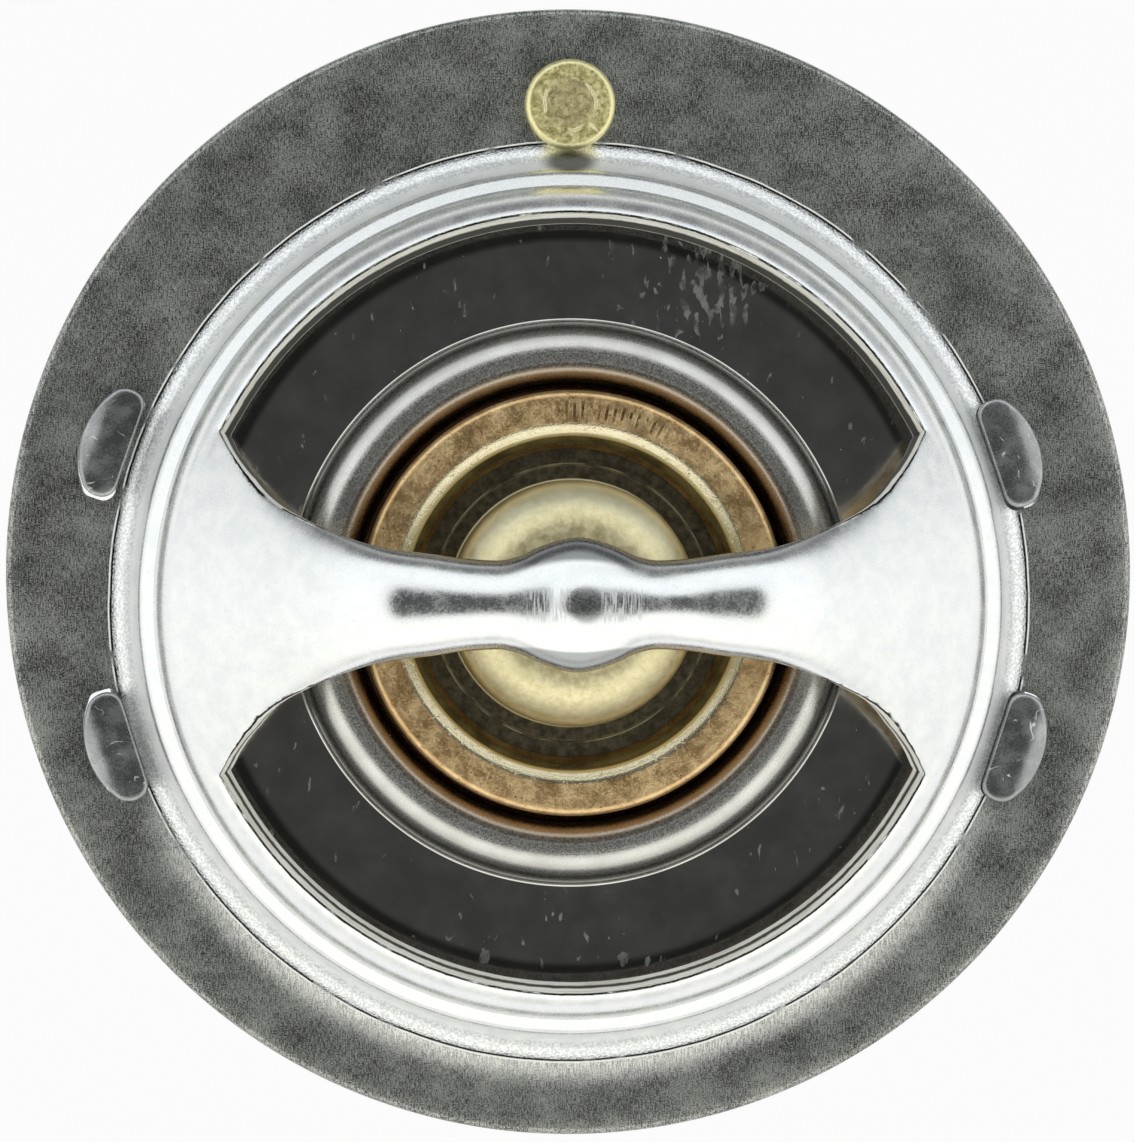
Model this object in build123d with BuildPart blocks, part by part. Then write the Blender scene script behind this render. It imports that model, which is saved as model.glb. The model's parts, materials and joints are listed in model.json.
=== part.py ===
from build123d import *
import math
import os

# Wax-element coolant valve with a Ø54 mm clamping flange, in millimetres, +Z towards the bridge.
# The origin is the centre of the flange's rim, on the flange's upper face.
# The valve's own axis is set a little off the rim's centre, away from the jiggle pin.

# ---- body stamping: flange, stepped neck and bridge in one sheet --------------------------------
sheet = 1.0                      # thickness of the stamped sheet
rim_radius = 27.0
rim_round = 0.3                  # rounding of the rim's upper edge
rim_offset = 1.44                # from the rim's centre to the valve axis

# The neck is set out along the middle of its sheet, from the flange upwards.
flange_width = 6.35              # from the rim's radius to the neck's foot
neck_draft = 0.5                 # how far the lower wall leans in
neck_ledge_height = 1.5          # top of the lower wall, where the ledge starts
neck_ledge_width = 0.75
neck_ledge_slope = 30.0          # degrees
neck_wall_draft = 0.26           # how far the upper wall leans in
neck_wall_height = 3.58          # where it turns in towards the mouth
neck_lip_width = 0.96            # from there to the mouth
neck_mouth_height = 4.2
neck_foot_bend = 1.3             # bend radii of the middle of the sheet
neck_ledge_bend = 0.55
neck_wall_bend = 2.5

ridge_height = 12.3              # top of the bridge beside its boss
ridge_reach = 8.0                # the bridge is level this far out from the axis
arm_bend = 3.0                   # how soon an arm bends from level to its full slope
arm_edge_drop = 1.2              # an arm's edges lie this much under its ridge
arm_root_drop = 0.1              # the same where the arm leaves the neck
boss_height = 0.3                # the piston's seat stands this far above the ridge
boss_reach = 2.6
boss_half_width = 2.95
waist_distance = 3.7             # narrowest place of an arm, beside the boss
waist_half_width = 1.87
arm_half_width = 2.15            # half way along the level stretch
shoulder_half_width = 2.6        # where the arm is well into its slope
shoulder_distance = 9.6
# Flare of an arm's foot: distance in from the mouth, half width.
arm_flare = [(5.8, 3.8), (3.6, 5.3), (2.6, 6.6)]
arm_root_half_width = 8.0
arm_root_reach = 0.45            # the arm leaves the neck this far outside the mouth's edge
arm_root_fall = 0.34             # and this far under it
arm_root_bury = 0.15             # how far the arm's foot runs into the neck

# ---- lower frame: spring cage staked into the flange --------------------------------------------
cage_sheet = 1.0
cage_inset = 1.3                 # middle of the legs' sheet outside the neck's foot
cage_leg_height = 13.5           # straight part of the legs, from the flange's upper face
cage_floor_depth = 20.5          # middle of the floor's sheet under the flange's upper face
cage_floor_radius = 12.8
cage_collar_length = 2.3
cage_bend = 2.0
cage_collar_bend = 0.9
leg_half_width = 9.7
leg_foot_half_width = 7.0
leg_taper_start = 6.0
tab_angle = 18.2                 # tabs either side of each leg's middle, in degrees
tab_length = 5.4                 # of a staked head
tab_stem_length = 4.6            # where it comes up through its slot
tab_reach = 2.8                  # how far a staked head spreads outwards
tab_thickness = 0.95
tab_nose_radius = 4.1
tab_corner = 0.6
tab_facet_start = 1.95           # a facet falls from here towards the head's nose
tab_facet_slope = 22.0           # degrees
slot_clearance = 0.12

# ---- valve plate --------------------------------------------------------------------------------
plate_sheet = 0.8
plate_clearance = 0.05           # from the plate's rim to the neck's step
seat_gap = 0.12                  # under the ledge of the neck, when closed
bead_outer_radius = 13.1         # foot of the bead's outer flank
bead_inner_radius = 10.95        # middle of the cup wall inside the bead
bead_height = 1.5
bead_flank_slope = 80.0          # degrees
bead_crown_bend = 1.2
bead_inner_bend = 0.375
bead_land_bend = 0.75
bead_foot_bend = 0.6

# ---- wax element --------------------------------------------------------------------------------
piston_radius = 2.0
running_clearance = 0.05         # between the piston and what guides it
collar_radius = 10.1
collar_top = 3.8
collar_bottom = -0.4
collar_edge = 0.35
crimp_inner_radius = 7.35        # tip of the crimped lip
crimp_round = 1.3                # its rounded crest
cup_wall = 0.9
bulb_radius = 7.5
bulb_end = -31.0
bulb_end_round = 2.2
fit_gap = 0.02                   # between the sealed pieces inside the cup
bulb_hole_clearance = 0.1
cage_hole_clearance = 0.35

guide_flange_radius = 9.15
guide_flange_thickness = 1.0
guide_flange_top = 2.3
guide_step_radius = 6.6
guide_step_height = 0.22
knob_radius = 5.8
knob_top = 7.8
knob_round = 1.9
knob_bore_chamfer = 0.4
washer_radius = 3.6
washer_thickness = 0.7
boot_flange_thickness = 0.8
boot_radius = 4.2
boot_depth = 20.5                # inside, under the flange's upper face
boot_end_thickness = 1.6
piston_end_gap = 0.5             # from the piston's lower point to the bottom of the boot
piston_point_length = 1.6
piston_point_radius = 0.7
socket_depth = 0.3               # of the piston's seat in the underside of the boss

# ---- main spring --------------------------------------------------------------------------------
wire = 1.8
spring_top_radius = 15.6         # mean radius of the coil under the plate
spring_foot_radius = 10.4        # mean radius of the coil on the cage's floor
spring_turns = 3.5               # between the closed end turns
spring_ground = 0.3              # ground off each end, so that it sits flat
end_turn = 290.0                 # degrees of each closed end turn

# ---- jiggle pin ---------------------------------------------------------------------------------
pin_inset = 4.6                  # from the rim
pin_head_radius = 2.165
pin_head_thickness = 0.8
pin_head_round = 0.3
pin_stem_radius = 0.9
pin_hole_radius = 1.3
pin_travel = 1.5
pin_weight_radius = 1.7
pin_weight_length = 2.6

# ---- planes and heights that follow from the sizes ----------------------------------------------
valve_centre = (0, -rim_offset, 0)
valve_axis = Axis(valve_centre, (0, 0, 1))
valve_plan = Plane(valve_centre)
valve_section = Plane(origin=valve_centre, x_dir=(1, 0, 0), z_dir=(0, -1, 0))
valve_side = Plane(origin=valve_centre, x_dir=(0, 1, 0), z_dir=(1, 0, 0))
half_sheet = sheet / 2

ledge_angle = math.radians(neck_ledge_slope)
neck_foot_radius = rim_radius - flange_width
neck_ledge_radius = neck_foot_radius - neck_draft
neck_step_radius = neck_ledge_radius - neck_ledge_width
neck_wall_radius = neck_step_radius - neck_wall_draft
neck_mouth_radius = neck_wall_radius - neck_lip_width
cage_radius = neck_foot_radius + cage_inset
plate_radius = neck_step_radius - plate_clearance
neck_step_height = neck_ledge_height + neck_ledge_width * math.tan(ledge_angle)
seat_rise = (neck_ledge_radius - plate_radius) * math.tan(ledge_angle)
seat_height = neck_ledge_height + seat_rise - half_sheet / math.cos(ledge_angle)
plate_top = seat_height - seat_gap
plate_under = plate_top - plate_sheet
mouth_lean = math.atan2(
    neck_mouth_height - neck_wall_height, neck_wall_radius - neck_mouth_radius
)
mouth_radius = neck_mouth_radius + half_sheet * math.sin(mouth_lean)
mouth_top = neck_mouth_height + half_sheet * math.cos(mouth_lean)
arm_foot_distance = mouth_radius + arm_root_reach
arm_foot_height = mouth_top - arm_root_fall
land_top = collar_bottom
cage_floor_top = cage_sheet / 2 - cage_floor_depth
guide_bore = piston_radius + running_clearance
guide_under = guide_flange_top - guide_flange_thickness
boot_under = guide_under - boot_flange_thickness
cup_inner_radius = bulb_radius - cup_wall
piston_depth = boot_depth - piston_end_gap
pin_distance = rim_radius - pin_inset
boss_top = ridge_height + boss_height
piston_top = boss_top - sheet + socket_depth - running_clearance


# ---- flange_bridge ------------------------------------------------------------------------------
def arm_fall(distance):
    """How far the arm's surface lies under the ridge, at a distance from the valve axis."""
    out = max(0.0, (distance - ridge_reach) / (arm_foot_distance - ridge_reach))
    bend = math.hypot(1, arm_bend * out) - 1
    return (ridge_height - arm_foot_height) * bend / (math.hypot(1, arm_bend) - 1)


def arm_crest(distance):
    """Height of the arm's middle line, with the boss for the piston over the valve axis."""
    near = min(distance, boss_reach) / boss_reach
    boss = boss_height * (1 + math.cos(math.pi * near)) / 2
    return ridge_height - arm_fall(distance) + boss


def arm_edge(distance, half_width):
    """Height of the arm's edge."""
    root = min(1.0, max(0.0, (distance - ridge_reach) / (mouth_radius - ridge_reach)))
    drop = arm_edge_drop + (arm_root_drop - arm_edge_drop) * root
    return ridge_height - arm_fall(math.hypot(distance, half_width)) - drop


def arm_thickness(distance):
    """Thickness of the sloping sheet as an upright section cuts it."""
    reach = sheet / 10
    slope = (arm_fall(distance + reach) - arm_fall(distance - reach)) / (2 * reach)
    return sheet * math.hypot(1, slope)


root_distance = math.sqrt(mouth_radius**2 - arm_root_half_width**2)
half_stations = [(0, boss_half_width), (waist_distance, waist_half_width)]
half_stations += [((waist_distance + shoulder_distance) / 2, arm_half_width)]
half_stations += [(shoulder_distance, shoulder_half_width)]
half_stations += [(mouth_radius - inward, half_width) for inward, half_width in arm_flare]
half_stations += [(root_distance, arm_root_half_width)]
half_stations += [(mouth_radius + sheet, arm_root_half_width + half_sheet)]
stations = [(-distance, half_width) for distance, half_width in reversed(half_stations[1:])]
stations += half_stations

# The bridge is a bowed strip: each station is an arc of sheet, high in the middle.
with BuildPart() as bridge_strip:
    for along, half_width in stations:
        crest = arm_crest(abs(along))
        sagitta = crest - arm_edge(abs(along), half_width)
        bow = (half_width**2 + sagitta**2) / (2 * sagitta)
        spread = math.degrees(math.asin(half_width / bow))
        inner_bow = bow - arm_thickness(abs(along))
        with BuildSketch(valve_side.offset(along)):
            with BuildLine():
                over = CenterArc((0, crest - bow), bow, 90 - spread, 2 * spread)
                under = CenterArc((0, crest - bow), inner_bow, 90 - spread, 2 * spread)
                Line(over @ 0, under @ 0)
                Line(over @ 1, under @ 1)
            make_face()
    loft()
    with BuildSketch(valve_plan):
        Circle(mouth_radius + arm_root_bury)
    extrude(amount=boss_top + sheet, mode=Mode.INTERSECT)

# Staked heads and their slots share one outline, which starts at the inner corners of the tabs.
with BuildSketch() as tab_outline:
    Rectangle(tab_reach, tab_length, align=(Align.MIN, Align.CENTER))
    with Locations((tab_reach - tab_nose_radius, 0)):
        Circle(tab_nose_radius, mode=Mode.INTERSECT)
    fillet(tab_outline.vertices(), tab_corner)
tab_root = math.sqrt((cage_radius - cage_sheet / 2) ** 2 - (tab_stem_length / 2) ** 2)

with BuildPart() as flange_bridge:
    # Stepped neck, with the end of the flange that it is drawn from.
    with BuildSketch(valve_section):
        with BuildLine():
            FilletPolyline(
                (neck_foot_radius + neck_foot_bend, -half_sheet),
                (neck_foot_radius, -half_sheet),
                (neck_ledge_radius, neck_ledge_height),
                (neck_step_radius, neck_step_height),
                (neck_wall_radius, neck_wall_height),
                (neck_mouth_radius, neck_mouth_height),
                radius=[neck_foot_bend, neck_ledge_bend, neck_ledge_bend, neck_wall_bend],
            )
        trace(line_width=sheet)
    revolve(axis=valve_axis)
    # Flange, eccentric to the neck.
    with BuildSketch():
        Circle(rim_radius)
        with Locations(valve_centre[:2]):
            Circle(neck_foot_radius + neck_foot_bend, mode=Mode.SUBTRACT)
    extrude(amount=-sheet)
    rim = flange_bridge.edges().filter_by(GeomType.CIRCLE).sort_by(SortBy.RADIUS)[-2:]
    fillet(rim.sort_by(Axis.Z)[-1], rim_round)
    # Slots for the lower frame's tabs, and the jiggle pin's hole.
    with BuildSketch(valve_plan.offset(neck_ledge_height)):
        for angle in (tab_angle, -tab_angle):
            with PolarLocations(tab_root, 2, start_angle=angle):
                add(tab_outline.sketch)
        offset(amount=slot_clearance)
    extrude(amount=-neck_ledge_height - sheet, mode=Mode.SUBTRACT)
    with Locations((0, pin_distance, 0)):
        Hole(pin_hole_radius)
    add(bridge_strip.part)
    # Seat for the piston's point, pressed into the underside of the boss.
    with BuildSketch(valve_section):
        with BuildLine():
            Polyline(
                (0, boss_top - sheet + socket_depth),
                (piston_point_radius, boss_top - sheet + socket_depth),
                (piston_radius, boss_top - sheet + socket_depth - piston_point_length),
                (0, boss_top - sheet + socket_depth - piston_point_length),
                close=True,
            )
        make_face()
    revolve(axis=valve_axis, mode=Mode.SUBTRACT)

# ---- lower_frame --------------------------------------------------------------------------------
# What the blanking tool leaves of the drawn cage: two legs, four tabs and the floor.
with BuildPart() as cage_blank:
    with BuildSketch(valve_side):
        with BuildLine():
            Polyline(
                (0, -sheet),
                (leg_half_width, -sheet),
                (leg_half_width, -leg_taper_start),
                (leg_foot_half_width, -cage_floor_depth),
                (0, -cage_floor_depth - cage_collar_length),
            )
            mirror(about=Plane.YZ)
        make_face()
    extrude(amount=cage_radius + cage_sheet, both=True)
    with BuildSketch(valve_plan.offset(-sheet)):
        for angle in (tab_angle, -tab_angle):
            with PolarLocations(cage_radius, 2, start_angle=angle):
                Rectangle(2 * cage_sheet, tab_stem_length)
    extrude(amount=sheet + tab_thickness / 2)
    with BuildSketch(valve_plan.offset(-cage_floor_depth - cage_collar_length)):
        Circle(cage_floor_radius)
    extrude(amount=cage_collar_length + cage_bend)

# Head of a tab, staked over onto the flange.
with BuildPart() as tab_head:
    add(tab_outline.sketch)
    extrude(amount=tab_thickness)
    facet_angle = math.radians(tab_facet_slope)
    facet = Plane(
        origin=(tab_facet_start, 0, tab_thickness),
        z_dir=(math.sin(facet_angle), 0, math.cos(facet_angle)),
    )
    split(bisect_by=facet, keep=Keep.BOTTOM)

with BuildPart() as lower_frame:
    cage_hole = bulb_radius + cage_hole_clearance + cage_sheet / 2
    with BuildSketch(valve_section):
        with BuildLine():
            FilletPolyline(
                (cage_radius, tab_thickness),
                (cage_radius, -cage_leg_height),
                (cage_floor_radius, -cage_floor_depth),
                (cage_hole, -cage_floor_depth),
                (cage_hole, -cage_floor_depth - cage_collar_length),
                radius=[cage_bend, cage_bend, cage_collar_bend],
            )
        trace(line_width=cage_sheet)
    revolve(axis=valve_axis)
    add(cage_blank.part, mode=Mode.INTERSECT)
    with Locations(valve_centre):
        for angle in (tab_angle, -tab_angle):
            with PolarLocations(tab_root, 2, start_angle=angle):
                add(tab_head.part)

# ---- main_spring --------------------------------------------------------------------------------
spring_foot = cage_floor_top + wire / 2 - spring_ground
spring_head = plate_under - wire / 2 + spring_ground
spring_rise = spring_head - spring_foot
spring_cone = math.degrees(math.atan2(spring_top_radius - spring_foot_radius, spring_rise))
with BuildPart() as main_spring:
    with BuildLine(valve_plan.offset(spring_foot)) as coil:
        CenterArc((0, 0), spring_foot_radius, -end_turn, end_turn)
        active = Helix(
            spring_rise / spring_turns, spring_rise, spring_foot_radius, cone_angle=spring_cone
        )
        last = active @ 1 - Vector(valve_centre)
        head_start = math.degrees(math.atan2(last.Y, last.X))
        CenterArc((0, 0, spring_rise), spring_top_radius, head_start, end_turn)
    with BuildSketch(Plane(origin=coil.wire() @ 0, z_dir=coil.wire() % 0)):
        Circle(wire / 2)
    sweep(path=coil.wire(), is_frenet=True)
    # Both ends are ground flat to seat on the plate and on the cage's floor.
    with BuildSketch(valve_plan.offset(cage_floor_top)):
        Circle(spring_top_radius + wire)
    extrude(amount=plate_under - cage_floor_top, mode=Mode.INTERSECT)

# ---- valve_plate --------------------------------------------------------------------------------
plate_middle = plate_top - plate_sheet / 2
bead_flank = bead_height / math.tan(math.radians(bead_flank_slope))
with BuildPart() as valve_plate:
    with BuildSketch(valve_section):
        with BuildLine():
            FilletPolyline(
                (plate_radius, plate_middle),
                (bead_outer_radius, plate_middle),
                (bead_outer_radius - bead_flank, plate_middle + bead_height),
                (bead_inner_radius, plate_middle + bead_height),
                (bead_inner_radius, land_top - plate_sheet / 2),
                (bulb_radius + bulb_hole_clearance, land_top - plate_sheet / 2),
                radius=[bead_foot_bend, bead_crown_bend, bead_inner_bend, bead_land_bend],
            )
        trace(line_width=plate_sheet)
    revolve(axis=valve_axis)

# ---- element_cup --------------------------------------------------------------------------------
# Drawn cup: a round-ended bulb with a wide mouth, whose lip is crimped over the guide's flange.
with BuildPart() as element_cup:
    with BuildSketch(valve_section) as cup_profile:
        with BuildLine():
            Polyline(
                (0, bulb_end),
                (bulb_radius, bulb_end),
                (bulb_radius, collar_bottom),
                (collar_radius, collar_bottom),
                (collar_radius, collar_top),
                (crimp_inner_radius, collar_top),
                (crimp_inner_radius, guide_flange_top),
                (guide_flange_radius, guide_flange_top),
                (guide_flange_radius, boot_under),
                (cup_inner_radius, boot_under),
                (cup_inner_radius, bulb_end + cup_wall),
                (0, bulb_end + cup_wall),
                close=True,
            )
        make_face()
        crest = cup_profile.vertices().group_by(Axis.Y)[-1].sort_by(Axis.X)[0]
        fillet(crest, crimp_round)
        fillet(cup_profile.vertices().sort_by(Axis.X)[-2:], collar_edge)
        inner_corner = cup_profile.vertices().group_by(Axis.Y)[1].sort_by(Axis.X)[-1]
        fillet(inner_corner, bulb_end_round - cup_wall)
        outer_corner = cup_profile.vertices().group_by(Axis.Y)[0].sort_by(Axis.X)[-1]
        fillet(outer_corner, bulb_end_round)
    revolve(axis=valve_axis)

# ---- guide_cover --------------------------------------------------------------------------------
# Turned guide: a flange held by the crimped lip, and a rounded knob that the piston slides in.
with BuildPart() as guide_cover:
    with BuildSketch(valve_section):
        with BuildLine():
            Polyline(
                (guide_bore, guide_under + washer_thickness),
                (washer_radius, guide_under + washer_thickness),
                (washer_radius, guide_under),
                (guide_flange_radius - fit_gap, guide_under),
                (guide_flange_radius - fit_gap, guide_flange_top),
                (guide_step_radius, guide_flange_top),
                (guide_step_radius, guide_flange_top + guide_step_height),
                (knob_radius, guide_flange_top + guide_step_height),
                (knob_radius, knob_top),
                (guide_bore, knob_top),
                close=True,
            )
        make_face()
    revolve(axis=valve_axis)
    knob_edges = guide_cover.edges().filter_by(GeomType.CIRCLE).group_by(Axis.Z)[-1]
    fillet(knob_edges.sort_by(SortBy.RADIUS)[-1], knob_round)
    chamfer(knob_edges.sort_by(SortBy.RADIUS)[0], knob_bore_chamfer)

# ---- backup_washer ------------------------------------------------------------------------------
with BuildPart() as backup_washer:
    with BuildSketch(valve_plan.offset(guide_under)):
        Circle(washer_radius - fit_gap)
        Circle(guide_bore, mode=Mode.SUBTRACT)
    extrude(amount=washer_thickness)

# ---- rubber_boot --------------------------------------------------------------------------------
with BuildPart() as rubber_boot:
    with BuildSketch(valve_section):
        with BuildLine():
            Polyline(
                (guide_bore, guide_under),
                (guide_flange_radius - fit_gap, guide_under),
                (guide_flange_radius - fit_gap, boot_under),
                (boot_radius, boot_under),
                (boot_radius, -boot_depth - boot_end_thickness),
                (0, -boot_depth - boot_end_thickness),
                (0, -boot_depth),
                (guide_bore, -boot_depth),
                close=True,
            )
        make_face()
    revolve(axis=valve_axis)
    boot_ends = rubber_boot.edges().filter_by(GeomType.CIRCLE).group_by(Axis.Z)[0]
    fillet(boot_ends, boot_end_thickness / 2)

# ---- wax_pellet ---------------------------------------------------------------------------------
# The charge of wax fills what is left between the cup and the boot.
with BuildPart() as wax_pellet:
    with BuildSketch(valve_section):
        with BuildLine():
            Polyline(
                (boot_radius + fit_gap, boot_under - fit_gap),
                (cup_inner_radius - fit_gap, boot_under - fit_gap),
                (cup_inner_radius - fit_gap, bulb_end + cup_wall + fit_gap),
                (0, bulb_end + cup_wall + fit_gap),
                (0, -boot_depth - boot_end_thickness - fit_gap),
                (boot_radius + fit_gap, -boot_depth - boot_end_thickness - fit_gap),
                close=True,
            )
        make_face()
    revolve(axis=valve_axis)
    wax_foot = wax_pellet.edges().filter_by(GeomType.CIRCLE).group_by(Axis.Z)[0]
    fillet(wax_foot, bulb_end_round - cup_wall)

# ---- piston -------------------------------------------------------------------------------------
with BuildPart() as piston:
    with BuildSketch(valve_section):
        with BuildLine():
            Polyline(
                (0, -piston_depth),
                (piston_point_radius, -piston_depth),
                (piston_radius, piston_point_length - piston_depth),
                (piston_radius, piston_top - piston_point_length),
                (piston_point_radius, piston_top),
                (0, piston_top),
                close=True,
            )
        make_face()
    revolve(axis=valve_axis)

# ---- jiggle_pin ---------------------------------------------------------------------------------
# Hangs by its head in the flange's vent hole. The weight under the flange keeps it in.
weight_top = -sheet - pin_travel
with BuildPart() as jiggle_pin:
    with BuildSketch(Plane(origin=(0, pin_distance, 0), x_dir=(1, 0, 0), z_dir=(0, -1, 0))):
        with BuildLine():
            Polyline(
                (0, pin_head_thickness),
                (pin_head_radius, pin_head_thickness),
                (pin_head_radius, 0),
                (pin_stem_radius, 0),
                (pin_stem_radius, weight_top),
                (pin_weight_radius, weight_top - pin_weight_radius + pin_stem_radius),
                (pin_weight_radius, weight_top - pin_weight_length),
                (0, weight_top - pin_weight_length),
                close=True,
            )
        make_face()
    revolve(axis=Axis((0, pin_distance, 0), (0, 0, 1)))
    pin_rings = jiggle_pin.edges().filter_by(GeomType.CIRCLE).group_by(Axis.Z)
    fillet(pin_rings[-1], pin_head_round)
    fillet(pin_rings[0], pin_weight_radius / 2)

# ---- files --------------------------------------------------------------------------------------
os.makedirs("parts", exist_ok=True)
pieces = {
    "flange_bridge": flange_bridge,
    "lower_frame": lower_frame,
    "main_spring": main_spring,
    "valve_plate": valve_plate,
    "element_cup": element_cup,
    "guide_cover": guide_cover,
    "backup_washer": backup_washer,
    "rubber_boot": rubber_boot,
    "wax_pellet": wax_pellet,
    "piston": piston,
    "jiggle_pin": jiggle_pin,
}
for name, piece in pieces.items():
    piece.part.label = name
    export_step(piece.part, f"parts/{name}.step")
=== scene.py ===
# %% [markdown]
# # A wax-element coolant valve, dressed for the camera
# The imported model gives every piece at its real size: a flange with a stepped neck and a bridge,
# pressed from one sheet, a spring cage staked into the flange, a conical spring, the valve plate with
# its copper wax element, a brass guide and piston, and a jiggle pin. This lesson replaces the shells
# that show with finely made meshes of the same form, and gives each one its own worn metal.

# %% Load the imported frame
import json
import math
import bmesh
import bpy
import numpy as np
from mathutils import Matrix, Vector


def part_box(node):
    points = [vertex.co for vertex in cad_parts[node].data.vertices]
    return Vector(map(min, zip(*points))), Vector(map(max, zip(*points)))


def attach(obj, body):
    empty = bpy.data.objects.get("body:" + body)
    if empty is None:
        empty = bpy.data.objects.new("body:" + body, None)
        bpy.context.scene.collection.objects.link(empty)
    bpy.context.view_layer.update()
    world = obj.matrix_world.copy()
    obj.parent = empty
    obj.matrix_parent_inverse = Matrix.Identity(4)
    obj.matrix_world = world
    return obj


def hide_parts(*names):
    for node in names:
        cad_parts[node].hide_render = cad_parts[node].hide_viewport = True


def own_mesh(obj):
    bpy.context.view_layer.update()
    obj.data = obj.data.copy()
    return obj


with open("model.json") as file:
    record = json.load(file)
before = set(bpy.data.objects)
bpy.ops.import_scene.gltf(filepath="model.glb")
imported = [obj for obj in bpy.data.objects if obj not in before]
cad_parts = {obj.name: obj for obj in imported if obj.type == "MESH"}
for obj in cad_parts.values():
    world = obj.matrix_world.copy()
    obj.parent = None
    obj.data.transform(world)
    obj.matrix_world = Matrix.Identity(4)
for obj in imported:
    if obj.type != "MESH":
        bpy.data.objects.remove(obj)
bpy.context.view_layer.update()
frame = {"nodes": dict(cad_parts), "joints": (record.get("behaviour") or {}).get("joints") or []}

nodes = frame["nodes"]
print("pieces in the frame:", ", ".join(sorted(nodes)))

# %% [markdown]
# Sizes are in millimetres here, because that is how such a part is drawn, and a mesh is scaled to
# Blender's metres when it is made. What can be read from the frame is read from it, so the looks stay
# on the parts: the rim, the valve's own axis a little off the rim's centre, and each piece's ends.

# %% Sizes from the frame
MM = 0.001


def box_mm(node):
    """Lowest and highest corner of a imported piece, in millimetres."""
    low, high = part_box(node)
    return low / MM, high / MM


stamping_low, stamping_high = box_mm("flange_bridge")
_, plate_high = box_mm("valve_plate")
cup_low, cup_high = box_mm("element_cup")
_, cage_high = box_mm("lower_frame")
pin_low, pin_high = box_mm("jiggle_pin")
guide_low, guide_high = box_mm("guide_cover")
piston_low, piston_high = box_mm("piston")
spring_low, spring_high = box_mm("main_spring")

rim_radius = stamping_high.x
sheet = -stamping_low.z
half = sheet / 2
valve_y = (cup_low.y + cup_high.y) / 2
pin_y = (pin_low.y + pin_high.y) / 2
print(f"rim radius {rim_radius:.2f}, sheet {sheet:.2f}, valve axis at y {valve_y:.2f} mm")

# %% [markdown]
# A few helpers carry the mesh work. `skin` covers a stack of rings of points. `turned` spins a closed
# profile about an axis, which is how a lathe or a deep draw makes a part. `rounded` turns a sharp
# profile into one with true arcs at its corners, as a drawing's radii do.

# %% Mesh helpers
SHARP_ANGLE = math.radians(38)
ON_AXIS = 1e-6


def facing_out(piece):
    """Turns a closed mesh right side out if its volume comes out negative."""
    work = bmesh.new()
    work.from_mesh(piece.data)
    if work.calc_volume(signed=True) < 0:
        bmesh.ops.reverse_faces(work, faces=work.faces)
        work.to_mesh(piece.data)
    work.free()
    return piece


def smooth(mesh):
    """Shades a mesh smooth apart from its sharp edges."""
    mesh.shade_smooth()
    mesh.set_sharp_from_angle(angle=SHARP_ANGLE)


def mesh_piece(name, points, faces):
    """A closed mesh object from points in millimetres."""
    mesh = bpy.data.meshes.new(name)
    mesh.from_pydata([Vector(point) * MM for point in points], [], faces)
    mesh.validate()
    smooth(mesh)
    piece = bpy.data.objects.new(name, mesh)
    bpy.context.scene.collection.objects.link(piece)
    return facing_out(piece)


def skin(name, rings, closed=False):
    """A mesh over a stack of rings of points. A ring of one point is a pole."""
    starts = np.cumsum([0] + [len(ring) for ring in rings])
    steps = max(len(ring) for ring in rings)
    faces = []
    for row in range(len(rings) if closed else len(rings) - 1):
        after = (row + 1) % len(rings)
        for step in range(steps):
            corners = [(row, step), (row, step + 1), (after, step + 1), (after, step)]
            face = [int(starts[ring]) + place % len(rings[ring]) for ring, place in corners]
            face = list(dict.fromkeys(face))
            if len(face) > 2:
                faces.append(face)
    return mesh_piece(name, [point for ring in rings for point in ring], faces)


def around(angles, radius, height, centre_y=valve_y):
    """Places at angles round an upright axis, which is the valve's own unless told."""
    places = (radius * np.cos(angles), centre_y + radius * np.sin(angles), height)
    return np.stack(np.broadcast_arrays(*places), axis=-1)


def turned(name, profile, centre_y=valve_y, steps=288):
    """Spins a closed profile of (radius, height) points about an upright axis."""
    angles = np.arange(steps) * math.tau / steps
    rings = [
        around(angles if radius > ON_AXIS else angles[:1], radius, height, centre_y)
        for radius, height in profile
    ]
    piece = skin(name, rings, closed=True)
    print(f"{name}: {len(piece.data.polygons)} faces")
    return piece


# %% Profiles with true radii
def rounded(corners, radii, steps=8):
    """A profile through the corners, with an arc of each given radius at the inner ones."""
    corners = [np.array(corner, float) for corner in corners]
    line = [corners[0]]
    for before, corner, after, radius in zip(corners, corners[1:], corners[2:], radii):
        back = (before - corner) / np.linalg.norm(before - corner)
        ahead = (after - corner) / np.linalg.norm(after - corner)
        half_angle = math.acos(max(-1, min(1, back @ ahead))) / 2
        sweep = math.pi / 2 - half_angle
        if radius <= 0 or sweep < ON_AXIS:
            line.append(corner)
            continue
        inward = (back + ahead) / np.linalg.norm(back + ahead)
        across = (back - ahead) / np.linalg.norm(back - ahead)
        centre = corner + inward * radius / math.sin(half_angle)
        for turn in np.linspace(sweep, -sweep, steps + 1):
            line.append(centre + radius * (across * math.sin(turn) - inward * math.cos(turn)))
    return line + [corners[-1]]


# %% [markdown]
# A pressed part is one sheet, so it is made as one: rows of points along the middle of the sheet,
# given its thickness afterwards. `thicken` finds the open edges and closes them with the edge that a
# press leaves, rolled over on the die side and nearly sharp on the other.

# %% Sheet metal helper
ROLL_STEPS, BURR_STEPS = 4, 2
BURR_ROUND = 0.08


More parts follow.
